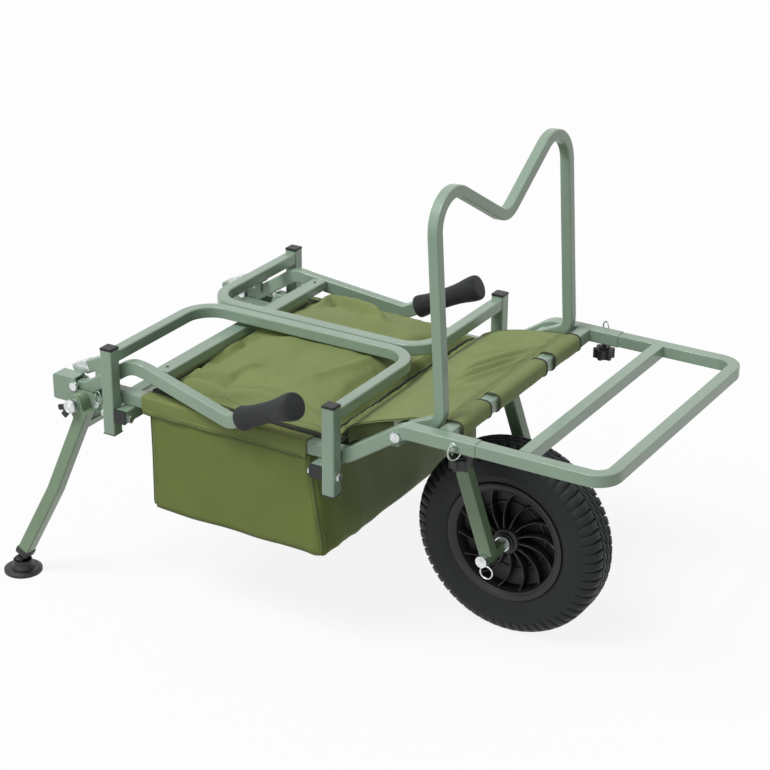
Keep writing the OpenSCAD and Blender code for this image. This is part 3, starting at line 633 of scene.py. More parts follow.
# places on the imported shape's far side in millimetres, and turns in degrees
POST_FEET = [(-359, 300, 343.8), (110, 300, 343.8)]
STUB_END, STUB_LEAN = (-459.5, 251, 433.4), 25.7
LEG_PIVOT = (-437, 318.8, 385)
LEG_END, LEG_LEAN, LEG_SPLAY = (-578.8, 313.9, 41.2), 28, 2.4
FOOT_MIDDLE = (-585.35, 314, 0)
STOP_RING = (-399, 288.6, 398)
RING_PIN = (338, 283.5, 485)


def dress(nodes, look):
    """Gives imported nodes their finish, leaving their shape alone."""
    for name in nodes:
        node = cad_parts[name]
        node.data.materials.clear()
        node.data.materials.append(finish(look))


class TROLLEY_OT_tubes(bpy.types.Operator):
    """Powder coat for every tube and plate"""
    bl_idname = "trolley.tubes"
    bl_label = "Coat the tubes"

    def execute(self, context):
        dress(COATED, "coat")
        # forks and legs: their darker copy of the coat is painted shade
        dress(SHADE_PAINTED_COATED, "painted_shade_coat")
        return {"FINISHED"}


class TROLLEY_OT_fasteners(bpy.types.Operator):
    """Zinc plate for bolts, pins and the axle"""
    bl_idname = "trolley.fasteners"
    bl_label = "Plate the fasteners"

    def execute(self, context):
        dress(PLATED, "zinc")
        dress(RIVETS, "rivet")
        return {"FINISHED"}


class TROLLEY_OT_rear_fittings(bpy.types.Operator):
    """Wing knobs, bolt heads, pull rings, leg collars, foot cups, post caps, stub ends and washers"""
    bl_idname = "trolley.rear_fittings"
    bl_label = "Rear fittings"

    def execute(self, context):
        for side, tag in ((-1, "near"), (1, "far")):
            self.knob(side, tag)
            self.pull(side, tag)
            self.shoe(side, tag)
            # plugs pressed into the lower ends of the gate's posts
            caps = bmesh.new()
            for x, y, z in POST_FEET:
                add_block(caps, at(25.6, 25.6, 2.2), Matrix.Translation(at(x, y * side, z)), 0.0008)
                add_block(caps, at(20, 20, 1.2), Matrix.Translation(at(x, y * side, z - 1.6)), 0.0005)
            piece(caps, "post_foot_caps_" + tag, "plastic", "gate_" + tag + "_body", sharp=40)
        ends = bmesh.new()
        lean = Matrix.Rotation(-radians(STUB_LEAN), 4, "Y")
        for side in (-1, 1):
            place = Matrix.Translation(on_side(STUB_END, side)) @ lean
            add_block(ends, at(36, 20, 22), place, 0.0014, 3)
            add_block(ends, at(2.4, 15, 17), place @ Matrix.Translation(at(-19, 0, 0)), 0.0008)
        piece(ends, "bright_stub_ends", "zinc", "handle_body", ["stub_ends"], sharp=40)
        rings = bmesh.new()
        washer = [(12.9, 43.0), (14.4, 43.0), (14.9, 43.7), (14.9, 46.1), (14.4, 46.8), (12.9, 46.8)]
        for side in (-1, 1):
            revolve(rings, [(r, side * y) for r, y in washer], HUB, ROUND, steps=56)
        tidy(rings)
        piece(rings, "axle_washers", "zinc", sharp=40)
        return {"FINISHED"}

    def knob(self, side, tag):
        """Wing knob with a bright bolt head in front of it."""
        bm = bmesh.new()
        root = on_side(LEG_PIVOT, side)
        out = Vector((0, side, 0))
        hub = [(0.0, 0.2), (8.6, 0.2), (9.4, 1.0), (9.4, 2.6), (0.0, 2.6)]
        revolve(bm, hub, root, out, steps=40, closed=False)
        for angle, reach, wide in ((196, 26, 11.0), (232, 25, 13.0)):
            a = radians(angle)
            way = Vector((cos(a), 0, sin(a)))
            turn = frame_of(way, out)
            place = Matrix.Translation(root + way * (reach / 2 + 3) * MM + out * 3.6 * MM) @ turn
            add_block(bm, at(reach, wide, 6.6), place, 0.0026, 3)
        tidy(bm)
        piece(bm, "wing_knob_" + tag, "plastic", "leg_knob_" + tag + "_body", ["leg_knob_" + tag], sharp=50)
        head = bmesh.new()
        dome = [(0.0, 2.4), (11.6, 2.4), (12.6, 3.2), (12.8, 7.0), (11.8, 8.8), (9.4, 9.6), (8.8, 8.8),
                (3.4, 8.8), (2.8, 9.4), (0.0, 9.6)]
        revolve(head, dome, root, out, steps=40, closed=False)
        tidy(head)
        piece(head, "clamp_bolt_head_" + tag, "zinc", "leg_knob_" + tag + "_body", sharp=40)

    def shoe(self, side, tag):
        """Collar on the leg's end and the cup in the middle of the mud foot."""
        collar = bmesh.new()
        lean = Matrix.Rotation(radians(LEG_SPLAY) * side, 4, "X") @ Matrix.Rotation(radians(LEG_LEAN), 4, "Y")
        place = Matrix.Translation(on_side(LEG_END, side)) @ lean
        add_block(collar, at(28, 28, 13), place @ Matrix.Translation(at(0, 0, 5.5)), 0.0026, 3)
        piece(collar, "leg_collar_" + tag, "plastic", "leg_frame", sharp=50)
        cup = bmesh.new()
        wall = [(0, 8.2), (22.6, 8.2), (21.4, 12), (18.8, 15), (18.2, 18), (18.2, 23.4), (17.6, 24.4),
                (16.4, 24.4), (15.7, 23.4), (15.6, 18.4), (0, 18.2)]
        revolve(cup, wall, on_side(FOOT_MIDDLE, side), Vector((0, 0, 1)), steps=48, closed=False)
        tidy(cup)
        piece(cup, "foot_cup_" + tag, "plastic", "foot_" + tag + "_body", sharp=40)

    def pull(self, side, tag):
        """Pull ring that hangs up behind the stop bolt."""
        bm = bmesh.new()
        middle = on_side(STOP_RING, side)
        ring = [middle + Vector((0.0075 * cos(a), side * 0.0012 * sin(2 * a), 0.0125 * sin(a)))
                for a in (k * pi / 20 for k in range(40))]
        add_rod(bm, ring, 0.0011, closed=True, sides=8)
        piece(bm, "stop_ring_" + tag, "dull_zinc", "frame", sharp=40)


class TROLLEY_OT_ring_pins(bpy.types.Operator):
    """Pins with split pull rings that lock the front rack"""
    bl_idname = "trolley.ring_pins"
    bl_label = "Ring pins"

    def execute(self, context):
        for side, node in ((-1, "ring_pin_near"), (1, "ring_pin_far")):
            bm = bmesh.new()
            out = Vector((0, side, 0))
            root = on_side(RING_PIN, side)
            # shank, collar and domed head
            outline = [(0.0, -0.8), (3.9, -0.8), (3.9, 0.25), (6.9, 0.3), (6.9, 2.4), (6.2, 3.0), (4.2, 3.0),
                       (4.0, 8.6), (5.2, 9.0), (5.3, 10.2), (4.2, 11.0), (2.2, 11.4), (0.0, 11.5)]
            revolve(bm, outline, root, out, steps=32, closed=False)
            # the near ring hangs half turned, the far one stands up
            if side < 0:
                turn, shift, wide, tall, hang = 52, 5, 0.0112, 0.0136, -0.0075
            else:
                turn, shift, wide, tall, hang = 30, 0, 0.009, 0.0108, 0.0085
            middle = root + out * 0.0064 + at(shift, 0, 0)
            across = Vector((cos(radians(turn)), -side * sin(radians(turn)), 0))
            ring = [middle + across * wide * cos(a) + Vector((0, 0, hang + tall * sin(a)))
                    for a in (k * pi / 24 for k in range(48))]
            add_rod(bm, ring, 0.00125, closed=True, sides=10)
            again = [q + out * 0.0021 + Vector((0, 0, 0.0004)) for q in ring[8:40]]
            add_rod(bm, again, 0.0011, sides=8)
            tidy(bm)
            piece(bm, "pull_" + node, "dull_zinc", "frame", [node], sharp=40)
        return {"FINISHED"}


class TROLLEY_OT_mouldings(bpy.types.Operator):
    """Black plastic, foam and rubber for what is moulded"""
    bl_idname = "trolley.mouldings"
    bl_label = "Black mouldings"

    def execute(self, context):
        dress(MOULDED, "plastic")
        dress(["rim"], "rim")
        dress(["grip_near", "grip_far"], "foam")
        dress(["tyre"], "rubber")
        return {"FINISHED"}


# Wheel

# a spoke's start and end in millimetres from the axle, its sweep in degrees, and the valve's turn in degrees
SPOKE_START, SPOKE_END, SPOKE_SWEEP = 24.5, 98.6, 21
VALVE_ANGLE = 47


def mirrored(half):
    """A whole outline, from the half that ends on the wheel's middle plane."""
    return [(r, -y) for r, y in half] + [(r, y) for r, y in reversed(half[:-1])]


def both_ends(half):
    """An outline that goes on from its half, mirrored, back to the half's start."""
    return half + [(r, -y) for r, y in reversed(half)]


class TROLLEY_OT_tyre(bpy.types.Operator):
    """Pneumatic tyre with a block tread"""
    bl_idname = "trolley.tyre"
    bl_label = "Tyre"

    def execute(self, context):
        wheel = context.scene.trolley_wheel
        bm = bmesh.new()
        half = [(108.5, 33.0), (112, 35.6), (117, 37.2), (119.5, 39.6), (124, 40.6), (130, 42.6), (132, 43.6),
                (134.5, 43.2), (142, 44.0), (150, 43.9), (156, 42.8), (158, 43.0), (160.5, 41.6), (165, 39.6),
                (170, 37.2), (175.5, 32.0), (178.9, 26.0), (181.2, 18.0), (181.8, 8.0), (181.9, 0.0)]
        bead = [(106, 28), (104, 0), (106, -28)]
        revolve(bm, mirrored(half) + bead, HUB, ROUND, steps=120)
        tidy(bm)
        self.tread(bm, wheel.lugs)
        # three moulding nibs on each sidewall
        for side in (-1, 1):
            for k in range(3):
                a = radians(17 + 120 * k)
                spot = HUB + at(148 * cos(a), side * 44.1, 148 * sin(a))
                bmesh.ops.create_icosphere(bm, subdivisions=1, radius=0.0011, matrix=Matrix.Translation(spot))
        piece(bm, "block_tread_tyre", "rubber", "wheel", ["tyre"], sharp=50)
        return {"FINISHED"}

    def tread(self, bm, count):
        """Shoulder and middle lugs on both sides, the far side's half a pitch on."""
        pitch = 2 * pi / count
        shoulder = [(186, 15.5), (185.2, 22), (182.2, 28.5), (177.4, 34.2), (171.5, 38.6), (164.5, 41.8),
                    (160, 43.2), (157, 42.6), (163, 39.4), (170, 34.5), (175, 28.5), (178, 22), (178.6, 15.5)]
        middle = [(186, 1.6), (186, 12.4), (179, 12.9), (179, 1.1)]
        for side in (-1, 1):
            start = pitch / 2 if side > 0 else 0
            outer = self.lug(shoulder, side, pitch * 0.77, 0.0)
            inner = self.lug(middle, side, pitch * 0.74, 0.35 * side)
            for k in range(count):
                self.copy(bm, outer, k * pitch + start)
                self.copy(bm, inner, (k + 0.25) * pitch + start)
            bpy.data.meshes.remove(outer)
            bpy.data.meshes.remove(inner)

    def lug(self, outline, side, width, slant):
        """One lug as a mesh, its faces following the tyre's curve."""
        bm = bmesh.new()
        face = bm.faces.new([bm.verts.new(HUB + at(r, side * y, 0)) for r, y in outline])
        bmesh.ops.spin(bm, geom=[face], cent=HUB, axis=ROUND, dvec=(0, 0, 0), angle=width, steps=2,
                       use_merge=False, use_duplicate=False)
        for v in bm.verts:
            y = abs(v.co.y) * 1000
            a = slant * (y - 7) / 30 + 0.0011 * max(0, y - 15) - width / 2
            v.co = HUB + Matrix.Rotation(a, 3, "Y") @ (v.co - HUB)
        tidy(bm)
        sharp = [e for e in bm.edges if e.is_manifold and e.calc_face_angle() > radians(32)]
        soften(bm, sharp, 0.0007, 1)
        mesh = bpy.data.meshes.new("lug")
        bm.to_mesh(mesh)
        bm.free()
        return mesh

    def copy(self, bm, mesh, angle):
        """Adds a lug, turned round the axle."""
        before = len(bm.verts)
        bm.from_mesh(mesh)
        bm.verts.ensure_lookup_table()
        bmesh.ops.rotate(bm, verts=bm.verts[before:], cent=HUB, matrix=Matrix.Rotation(angle, 3, "Y"))


class TROLLEY_OT_rim(bpy.types.Operator):
    """Moulded rim with thin curved spokes"""
    bl_idname = "trolley.rim"
    bl_label = "Rim"

    def execute(self, context):
        wheel = context.scene.trolley_wheel
        bm = bmesh.new()
        # flanges, barrel and web in one closed outline, then the hub
        half = [(96.5, 9), (98.2, 20), (99.2, 30.5), (99.6, 35.2), (101.0, 36.6), (103.2, 36.4),
                (105.0, 37.6), (107.5, 39.6), (110.5, 40.6), (113.4, 40.9), (115.2, 40.0), (115.6, 38.2),
                (114.8, 36.4), (111.6, 34.4), (108.6, 30.0), (106.5, 24.0), (104.8, 14.0), (104.0, 0.0)]
        web = [(70, 5.5), (68.5, 7.6), (66, 8.2), (63.5, 7.6), (62, 5.0), (26, 4.0)]
        revolve(bm, mirrored(half) + both_ends(web), HUB, ROUND, steps=112)
        hub = [(6.06, 42), (11.5, 42), (12.4, 41.2), (17.4, 41.2), (18.6, 40.2), (19.2, 36.0), (23.2, 34.6),
               (24.6, 33.2), (25.4, 30.0), (26.4, 4.4)]
        revolve(bm, both_ends(hub), HUB, ROUND, steps=64)
        tidy(bm)
        for side in (-1, 1):
            for k in range(wheel.spokes):
                self.spoke(bm, side, 2 * pi * k / wheel.spokes + (0.1 if side > 0 else 0.0))
        self.boss(bm)
        piece(bm, "curved_spoke_rim", "rim", "wheel", ["rim"], sharp=36)
        return {"FINISHED"}

    def spoke(self, bm, side, angle):
        """A thin fin from hub to barrel, swept back towards the rim."""
        steps, rings = 12, []
        for i in range(steps + 1):
            t = i / steps
            r = mix(SPOKE_START, SPOKE_END, t)
            a = angle - radians(SPOKE_SWEEP) * t ** 1.7
            spread = Vector((cos(a), 0, sin(a)))
            cross = Vector((-sin(a), 0, cos(a)))
            front = mix(31.0, 25.0, min(1, t * 1.6)) + 5.5 * max(0, t - 0.75) * 4
            thick = mix(1.6, 1.15, min(1, t * 3)) + 0.9 * max(0, t - 0.86) / 0.14
            rings.append([HUB + (spread * r + cross * o) * MM + ROUND * side * y * MM
                          for o, y in ((-thick, 3.6), (-thick * 0.8, front - 0.7), (-thick * 0.35, front),
                                       (thick * 0.35, front), (thick * 0.8, front - 0.7), (thick, 3.6))])
        loops = []
        for ring in rings:
            verts = [bm.verts.new(p) for p in ring]
            loops.append([bm.edges.new((a, b)) for a, b in zip(verts, verts[1:] + verts[:1])])
        new = []
        for one, two in zip(loops, loops[1:]):
            new += bmesh.ops.bridge_loops(bm, edges=one + two)["faces"]
        new += bmesh.ops.contextual_create(bm, geom=loops[0])["faces"]
        new += bmesh.ops.contextual_create(bm, geom=loops[-1])["faces"]
        bmesh.ops.recalc_face_normals(bm, faces=new)

    def boss(self, bm):
        """Sleeve round the valve."""
        a = radians(VALVE_ANGLE)
        way = Vector((cos(a), 0, -sin(a)))
        add_rod(bm, [HUB + way * 0.074, HUB + way * 0.0995], 0.0065, sides=16)


# Cloth

# places and sizes in millimetres
RAIL_Y, RAIL_Z = 271.0, 409.0
BAG = {"back": -291.0, "front_top": 57.0, "front_low": 81.0, "side": 283.3, "low": 200.0, "top": 394.5}
BAG_CORNER = 13.0
COVER_BACK, COVER_FRONT = -280, 99.5
COVER_SIDE, COVER_LOW = 256.5, 418.5
CROWN_EDGE, CROWN_RISE = 424, 44
SHEET_BACK, SHEET_FRONT = 98.0, 294.5
SHEET_LOW, SHEET_HIGH = 434, 496.5
SLEEVE_BACK, SLEEVE_LENGTH, SLEEVE_SIZE, SLEEVE_CORNER = -303, 353, 28.6, 4.6
FLAP_OUT, FLAP_LOW, FLAP_HIGH = 285.9, 388.2, 398.5
# the three lengths of the front hem, from y to y, and the tube that it goes round
HEM_LENGTHS = [(-229, -127), (-98, 80.5), (110, 214)]
HEM_X, HEM_Z, HEM_SIZE, HEM_CORNER = 308, 485, 31.0, 10.5
# frames that the cover's cloth takes to swell
SWELL_FRAMES = 20


def bag_front(z):
    """Where the bag's front wall stands at a height, in millimetres; it leans back from 228 to 369."""
    return mix(BAG["front_low"], BAG["front_top"], min(1.0, max(0.0, (z - 228) / 141)))


class TROLLEY_OT_bag(bpy.types.Operator):
    """Canvas bag hung between the rails"""
    bl_idname = "trolley.bag"
    bl_label = "Bag"

    def execute(self, context):
        bm = bmesh.new()
        bmesh.ops.create_cube(bm, size=1)
        top = [f for f in bm.faces if f.normal.z > 0.5]
        bmesh.ops.delete(bm, geom=top, context="FACES")
        bmesh.ops.subdivide_edges(bm, edges=bm.edges[:], cuts=50, use_grid_fill=True)
        for v in bm.verts:
            v.co = self.shape(v.co.x + 0.5, v.co.y + 0.5, v.co.z + 0.5)
        tidy(bm)
        bm.normal_update()
        if sum(f.normal.z for f in bm.faces if abs(f.normal.z) > 0.9) > 0:
            bmesh.ops.reverse_faces(bm, faces=bm.faces[:])
        made = piece(bm, "canvas_bag", "bag", replaces=["bag"], sharp=80, woven=True)
        thicken(made)
        self.seams(made)
        return {"FINISHED"}

    def shape(self, u, v, w):
        """A point of the bag out of its place in a unit cube."""
        b, r = BAG, BAG_CORNER
        z = mix(b["low"], b["top"], w)
        x = mix(b["back"], bag_front(z), u)
        y = mix(-b["side"], b["side"], v)
        # edges and corners are rounded about a core that lies one radius inside
        core = Vector((min(max(x, b["back"] + r), bag_front(z) - r),
                       min(max(y, r - b["side"]), b["side"] - r),
                       max(z, b["low"] + r)))
        p = core + (Vector((x, y, z)) - core).normalized() * r
        hang = hill(u, 0.8) * (1 - (2 * w - 1) ** 2)
        fold = noise.noise(Vector((x * 0.009, y * 0.009, z * 0.013)))
        fine = noise.noise(Vector((x * 0.03 + 5, y * 0.03, z * 0.02)))
        rim = min(1.0, (1 - w) * 9)
        if abs(abs(y) - b["side"]) < 0.01:
            s = -1 if y < 0 else 1
            corner = ridge(x, 58 + 0.1 * (z - 200), 7) * min(1.0, (b["top"] - z) / 60) * 2.2
            p.y += s * rim * (corner + 0.8 * sin(x * 0.035 + 1.1) * hill(w, 0.4))
            pull = sin(x * 0.16) * exp(-((b["top"] - z) / 26)) * 0.8
            p.y += s * rim * (1.4 * hang + 1.6 * fold * hill(u, 0.3) + 0.5 * fine + pull) - s * 0.5
        if u > 0.999:
            side = hill(v, 0.3)
            drag = sin((y * 0.8 + z * 1.3) * 0.045) * 2.6 * ridge(abs(y) / 283, 0.86, 0.3)
            gather = 2.8 * sin(y * 0.105 + 1.3 * sin(z * 0.014)) * ridge(abs(y), 196, 62)
            p.x += rim * (2.6 * hill(v, 0.7) * hill(w, 0.7) + 3.0 * fold * side + drag + 0.8 * fine + gather)
        if u < 0.001:
            p.x -= rim * (4 * hill(v, 0.7) * hill(w, 0.7) + 2.5 * fold)
        if w < 0.12:
            p.z += 1.6 * sin(x * 0.042 + 0.6) * ridge(w, 0, 0.09)
        if w < 0.001:
            p.z -= 5.0 * hill(u, 0.5) * hill(v, 0.5) + 1.8 * fold + 1.2
        return p * MM

    def seams(self, bag):
        """Bound seams down the corners and along the bottom, and rows of stitches."""
        skin = Skin(bag)
        tape, thread = bmesh.new(), bmesh.new()
        inset, away, lift = 3.2, 0.03, 0.0002
        for sy in (-1, 1):
            for sx in (-1, 1):
                out = Vector((sx, sy, 0)).normalized()
                line = []
                for k in range(24):
                    z = mix(BAG["low"] + 9, BAG["top"] - 3, k / 23)
                    x = bag_front(z) - inset if sx > 0 else BAG["back"] + inset
                    line.append(skin.side(at(x, sy * (BAG["side"] - inset), z) + out * away, -out, lift))
                add_rod(tape, line, 0.0017, sides=8)
            out = Vector((0, sy, -1)).normalized()
            foot = []
            for k in range(40):
                x = mix(BAG["back"] + 9, BAG["front_low"] - 9, k / 39)
                start = at(x, sy * (BAG["side"] - 4), BAG["low"] + 4)
                foot.append(skin.side(start + out * away, -out, lift))
            add_rod(tape, foot, 0.0015, sides=8)
        piece(tape, "bag_seam_binding", "tape", sharp=60)
        # rows of stitches beside the corner seams, on both side walls and on the front wall
        heights = [mix(BAG["low"] + 14, BAG["top"] - 6, k / 19) for k in range(20)]
        for sy in (-1, 1):
            for front in (False, True):
                line = []
                for z in heights:
                    x = bag_front(z) - 9 if front else BAG["back"] + 12
                    line.append(skin.side(at(x, sy * 330, z), (0, -sy, 0), lift))
                add_stitches(thread, line, (0, sy, 0))
        for y in (-268, 268):
            line = [skin.side(at(200, y, z), (-1, 0, 0), lift) for z in heights]
            add_stitches(thread, line, (1, 0, 0))
        piece(thread, "bag_stitches", "thread", sharp=60)


def crown(u, v):
    """Height of the cover in millimetres."""
    return CROWN_EDGE + CROWN_RISE * hill(u, 0.42) * hill(v, 0.45)


# folds of the cover, seen from above: height, width, and the (x, y) points of its line
COVER_FOLDS = [
    (5.5, 7.5, [(-242, -197), (-256, -147), (-261, -107), (-252, -82), (-247, -59), (-258, -27), (-249, -10),
                (-234, -6), (-201, 9), (-161, 16), (-122, 24), (-67, 25), (-24, 24), (24, 16)]),
    (-7.0, 8.0, [(-262, -190), (-274, -147), (-277, -107), (-268, -60), (-270, -20), (-252, 16), (-200, 28),
                 (-120, 42)]),
    (-4.0, 9.0, [(-225, -160), (-238, -120), (-230, -60), (-215, -28), (-160, -8), (-90, 2), (-20, -2)]),
    (4.5, 6.0, [(-267, -218), (-238, -197), (-197, -190), (-167, -197), (-150, -166), (-136, -147)]),
    (-3.5, 6.0, [(-250, -212), (-205, -206), (-170, -212), (-140, -190)]),
    (6.0, 9.0, [(-259, -223), (-203, -230), (-149, -237), (-88, -219), (-20, -226), (40, -232)]),
    (-4.5, 7.0, [(-240, -214), (-190, -216), (-140, -218), (-80, -202), (-20, -208), (30, -214)]),
    (9.0, 10.0, [(-213, 159), (-227, 224), (-196, 230), (-156, 206), (-110, 175), (-73, 151), (-50, 142)]),
    (-5.0, 9.0, [(-190, 170), (-196, 208), (-160, 186), (-118, 158), (-80, 132)]),
    (3.5, 7.0, [(-150, 228), (-90, 214), (-20, 206), (50, 214)]),
    (3.0, 10.0, [(-60, -190), (-20, -140), (10, -70), (20, -10)]),
    (-3.0, 8.0, [(52, -225), (44, -120), (50, -10), (40, 90), (48, 200)]),
    (5.0, 6.0, [(93, -250), (92, -120), (94, 0), (92, 120), (93, 250)]),
    (-4.5, 3.6, [(83, -252), (81, -160), (85, -60), (82, 40), (86, 140), (83, 252)]),
    (2.5, 6.0, [(72, -248), (70, -120), (73, 0), (70, 120), (72, 248)]),
]


class TROLLEY_OT_cover(bpy.types.Operator):
    """Padded cover over the bag, swollen by simulation, with piping and zip"""
    bl_idname = "trolley.cover"
    bl_label = "Cover"

    def execute(self, context):
        bm = bmesh.new()
        for low in (True, False):
            for v, u, w in grid(bm, 76, 100):
                x = mix(COVER_BACK, COVER_FRONT, u)
                y = mix(-COVER_SIDE, COVER_SIDE, w)
                v.co = at(x, y, COVER_LOW if low else crown(u, w))
            if low:
                bmesh.ops.reverse_faces(bm, faces=bm.faces[:])
        bmesh.ops.bridge_loops(bm, edges=[e for e in bm.edges if e.is_boundary])
        tidy(bm)
        for v in bm.verts:
            if v.co.z > 0.42:
                v.co.z += self.slack(v.co.x * 1000, v.co.y * 1000) * MM
        self.swell(context, bm)
        for v in bm.verts:
            if v.co.z > 0.424:
                x, y = v.co.x * 1000, v.co.y * 1000
                rise = 2.3 * folded(x, y, COVER_FOLDS) * min(1.0, self.inside(x, y) / 12)
                v.co.z = max(0.4225, v.co.z + rise * MM)
        made = piece(bm, "padded_cover", "cover", replaces=["cover"], sharp=70, woven=True)
        fine = made.modifiers.new("smooth", "SUBSURF")
        fine.levels = fine.render_levels = 1
        self.trim(made)
        return {"FINISHED"}

    def inside(self, x, y):
        """Distance in millimetres to the cover's nearest edge."""
        return min(x - COVER_BACK, COVER_FRONT - x, COVER_SIDE - abs(y))

    def slack(self, x, y):
        """Broad slack drawn in before the cloth swells."""
        u = (x - COVER_BACK) / (COVER_FRONT - COVER_BACK)
        w = (y + COVER_SIDE) / (2 * COVER_SIDE)
        broad = 6.5 * noise.noise(Vector((u * 380 * 0.011, w * 513 * 0.009, 1.7)))
        small = 2.2 * noise.noise(Vector((u * 380 * 0.03, w * 513 * 0.026, 4.2)))
        return (broad + small) * hill(u, 0.5) * hill(w, 0.5)

    def swell(self, context, bm):
        """Lets the cloth swell under a light pressure, capped, edges held."""
        mesh = bpy.data.meshes.new("cover_work")
        bm.to_mesh(mesh)
        work = bpy.data.objects.new("cover_work", mesh)
        context.scene.collection.objects.link(work)
        held = work.vertex_groups.new(name="held")
        start = [v.co.copy() for v in mesh.vertices]
        for k, co in enumerate(start):
            near = co.z < 0.42 or self.inside(co.x * 1000, co.y * 1000) < 3
            held.add([k], 1.0 if near else 0.0, "REPLACE")
        cloth = work.modifiers.new("cloth", "CLOTH")
        settings = {"quality": 6, "mass": 0.25, "tension_stiffness": 18, "compression_stiffness": 14,
                    "shear_stiffness": 8, "bending_stiffness": 0.35, "air_damping": 3, "shrink_min": -0.012,
                    "use_pressure": True, "uniform_pressure_force": 3.2, "vertex_group_mass": "held"}
        for key, value in settings.items():
            setattr(cloth.settings, key, value)
        cloth.settings.effector_weights.gravity = 0
        cloth.collision_settings.use_collision = False
        cloth.point_cache.frame_start = 1
        cloth.point_cache.frame_end = SWELL_FRAMES
        for k in range(1, SWELL_FRAMES + 1):
            context.scene.frame_set(k)
        posed = work.evaluated_get(context.evaluated_depsgraph_get()).to_mesh()
        most = context.scene.trolley_cloth.puff
        bm.verts.ensure_lookup_table()
        for k, v in enumerate(posed.vertices):
            move = v.co - start[k]
            if move.length > most:
                move *= most / move.length
            bm.verts[k].co = start[k] + move
        context.scene.frame_set(1)
        bpy.data.objects.remove(work)
        bpy.data.meshes.remove(mesh)

    def back_flap(self):
        """Loose flap that closes the bag between the cover and its rear wall, dark as painted shade under the
        crossbar.
        """
        bm = bmesh.new()
        half = 255
        for v, u, w in grid(bm, 10, 90):
            y = mix(-half, half, w)
            slack = 1.6 * noise.noise(Vector((y * 0.02, u * 2, 6)))
            end = min(1.0, (half - abs(y)) / 22)
            z = mix(404, 423, min(1, u * 4)) + end * 12 * hill(u, 0.5) + slack
            v.co = at(mix(-305, -279.5, u), y, z)
        # dark binding finish: painted shade
        made = piece(bm, "cover_back_flap", "tape", sharp=80)
        thicken(made)

    def trim(self, cover):
        """Piping round the edges, zip behind the front lip, seams and stitches, the back flap, dark binding
        along the sides thickened as painted shade, and a dark rod of painted shade under the lip.
        """
        piping = bpy.context.scene.trolley_cloth.piping
        skin = Skin(cover)
        tape, thread, zip_bm, dark = bmesh.new(), bmesh.new(), bmesh.new(), bmesh.new()
        across, finer = range(-246, 247, 8), range(-250, 251, 6)
        front = int(COVER_FRONT)
        add_rod(tape, [skin.top(COVER_BACK + 6, y, 0.0006) for y in across], piping, sides=8)
        for side in (-1, 1):
            edge, row = side * (COVER_SIDE - 5), side * (COVER_SIDE - 12)
            line = [skin.top(x, edge, 0.0006) for x in range(COVER_BACK + 8, front - 6, 8)]
            add_rod(tape, line, piping, sides=8)
            line = [skin.top(x, row, 0.0002) for x in range(COVER_BACK + 12, front - 10, 8)]
            add_stitches(thread, line, skin.facing)
        lip = [skin.top(COVER_FRONT - 6, y, 0.0004) for y in across]
        add_rod(tape, lip, piping * 1.15, sides=8)
        for x in (COVER_FRONT - 13, COVER_FRONT - 30, COVER_BACK + 13):
            add_stitches(thread, [skin.top(x, y, 0.0002) for y in across], skin.facing)
        add_rod(zip_bm, [skin.top(COVER_FRONT - 17, y, 0.0004) for y in finer], 0.0021, sides=6)
        self.back_flap()
        # dark binding along both sides, thickest at the rear: partly binding, partly painted shade between
        # the cover and the sleeves
        for side in (-1, 1):
            line = [at(x, side * (257.4 + 0.8 * sin(x * 0.07)), 424.4 + 0.7 * sin(x * 0.05))
                    for x in range(-296, 76, 6)]
            add_rod(dark, line, 0.0042, sides=8, radii=[1.3 if p.x < -0.2 else 1.0 for p in line])
        # dark rod under the front lip: painted shade
        shade_under_lip = [skin.top(COVER_FRONT - 3, y) + at(3.4, 0, -1.6) for y in finer]
        add_rod(dark, shade_under_lip, 0.0027, sides=8)
        piece(dark, "cover_binding_and_painted_shade", "webbing", sharp=60, woven=True)
        piece(tape, "cover_piping", "cover", sharp=60, woven=True)
        piece(thread, "cover_stitches", "thread", sharp=60)
        piece(zip_bm, "cover_zip", "webbing", sharp=60, woven=True)


def sheet_z(u, v):
    """Height of the front sheet in millimetres."""
    return mix(SHEET_LOW, SHEET_HIGH, max(0, u) ** 0.55) + 12 * sin(pi * u) * hill(v, 0.5)


# pull folds of the front sheet, fanning out from the far gap of the hem
SHEET_FOLDS = [
    (4.2, 6.5, [(284, 142), (262, 96), (236, 48), (202, -19)]),
    (-2.8, 6.0, [(282, 132), (262, 78), (236, 30), (214, -20)]),
    (4.0, 6.0, [(283, 122), (266, 66), (244, 12), (211, -44)]),
    (-2.8, 6.0, [(282, 112), (266, 40), (244, -12), (216, -64)]),
    (3.6, 6.5, [(284, 104), (270, 20), (250, -38), (225, -90)]),
    (3.4, 8.0, [(286, 152), (252, 128), (212, 84), (170, 26)]),
    (-2.6, 8.0, [(284, 160), (240, 122), (190, 78), (150, 30)]),
    (3.6, 9.0, [(288, 170), (238, 164), (190, 134), (140, 90)]),
    (3.0, 8.0, [(285, 196), (240, 206), (190, 200), (130, 172)]),
    (3.0, 12.0, [(272, -60), (236, -104), (204, -140), (160, -186)]),
    (-3.0, 12.0, [(250, -66), (214, -104), (180, -136), (140, -168)]),
    (2.6, 6.0, [(284, -88), (262, -96), (240, -112), (216, -132)]),
]


def sheet_along(x):
    """How far x lies from the sheet's back edge (0) to its front edge (1)."""
    return (x - SHEET_BACK) / (SHEET_FRONT - SHEET_BACK)


def sheet_half(x):
    """Half width of the sheet, drawn in where the guard's feet swing past."""
    return mix(244, 222, sheet_along(x)) - 6.5 * ridge(x, 228, 18)


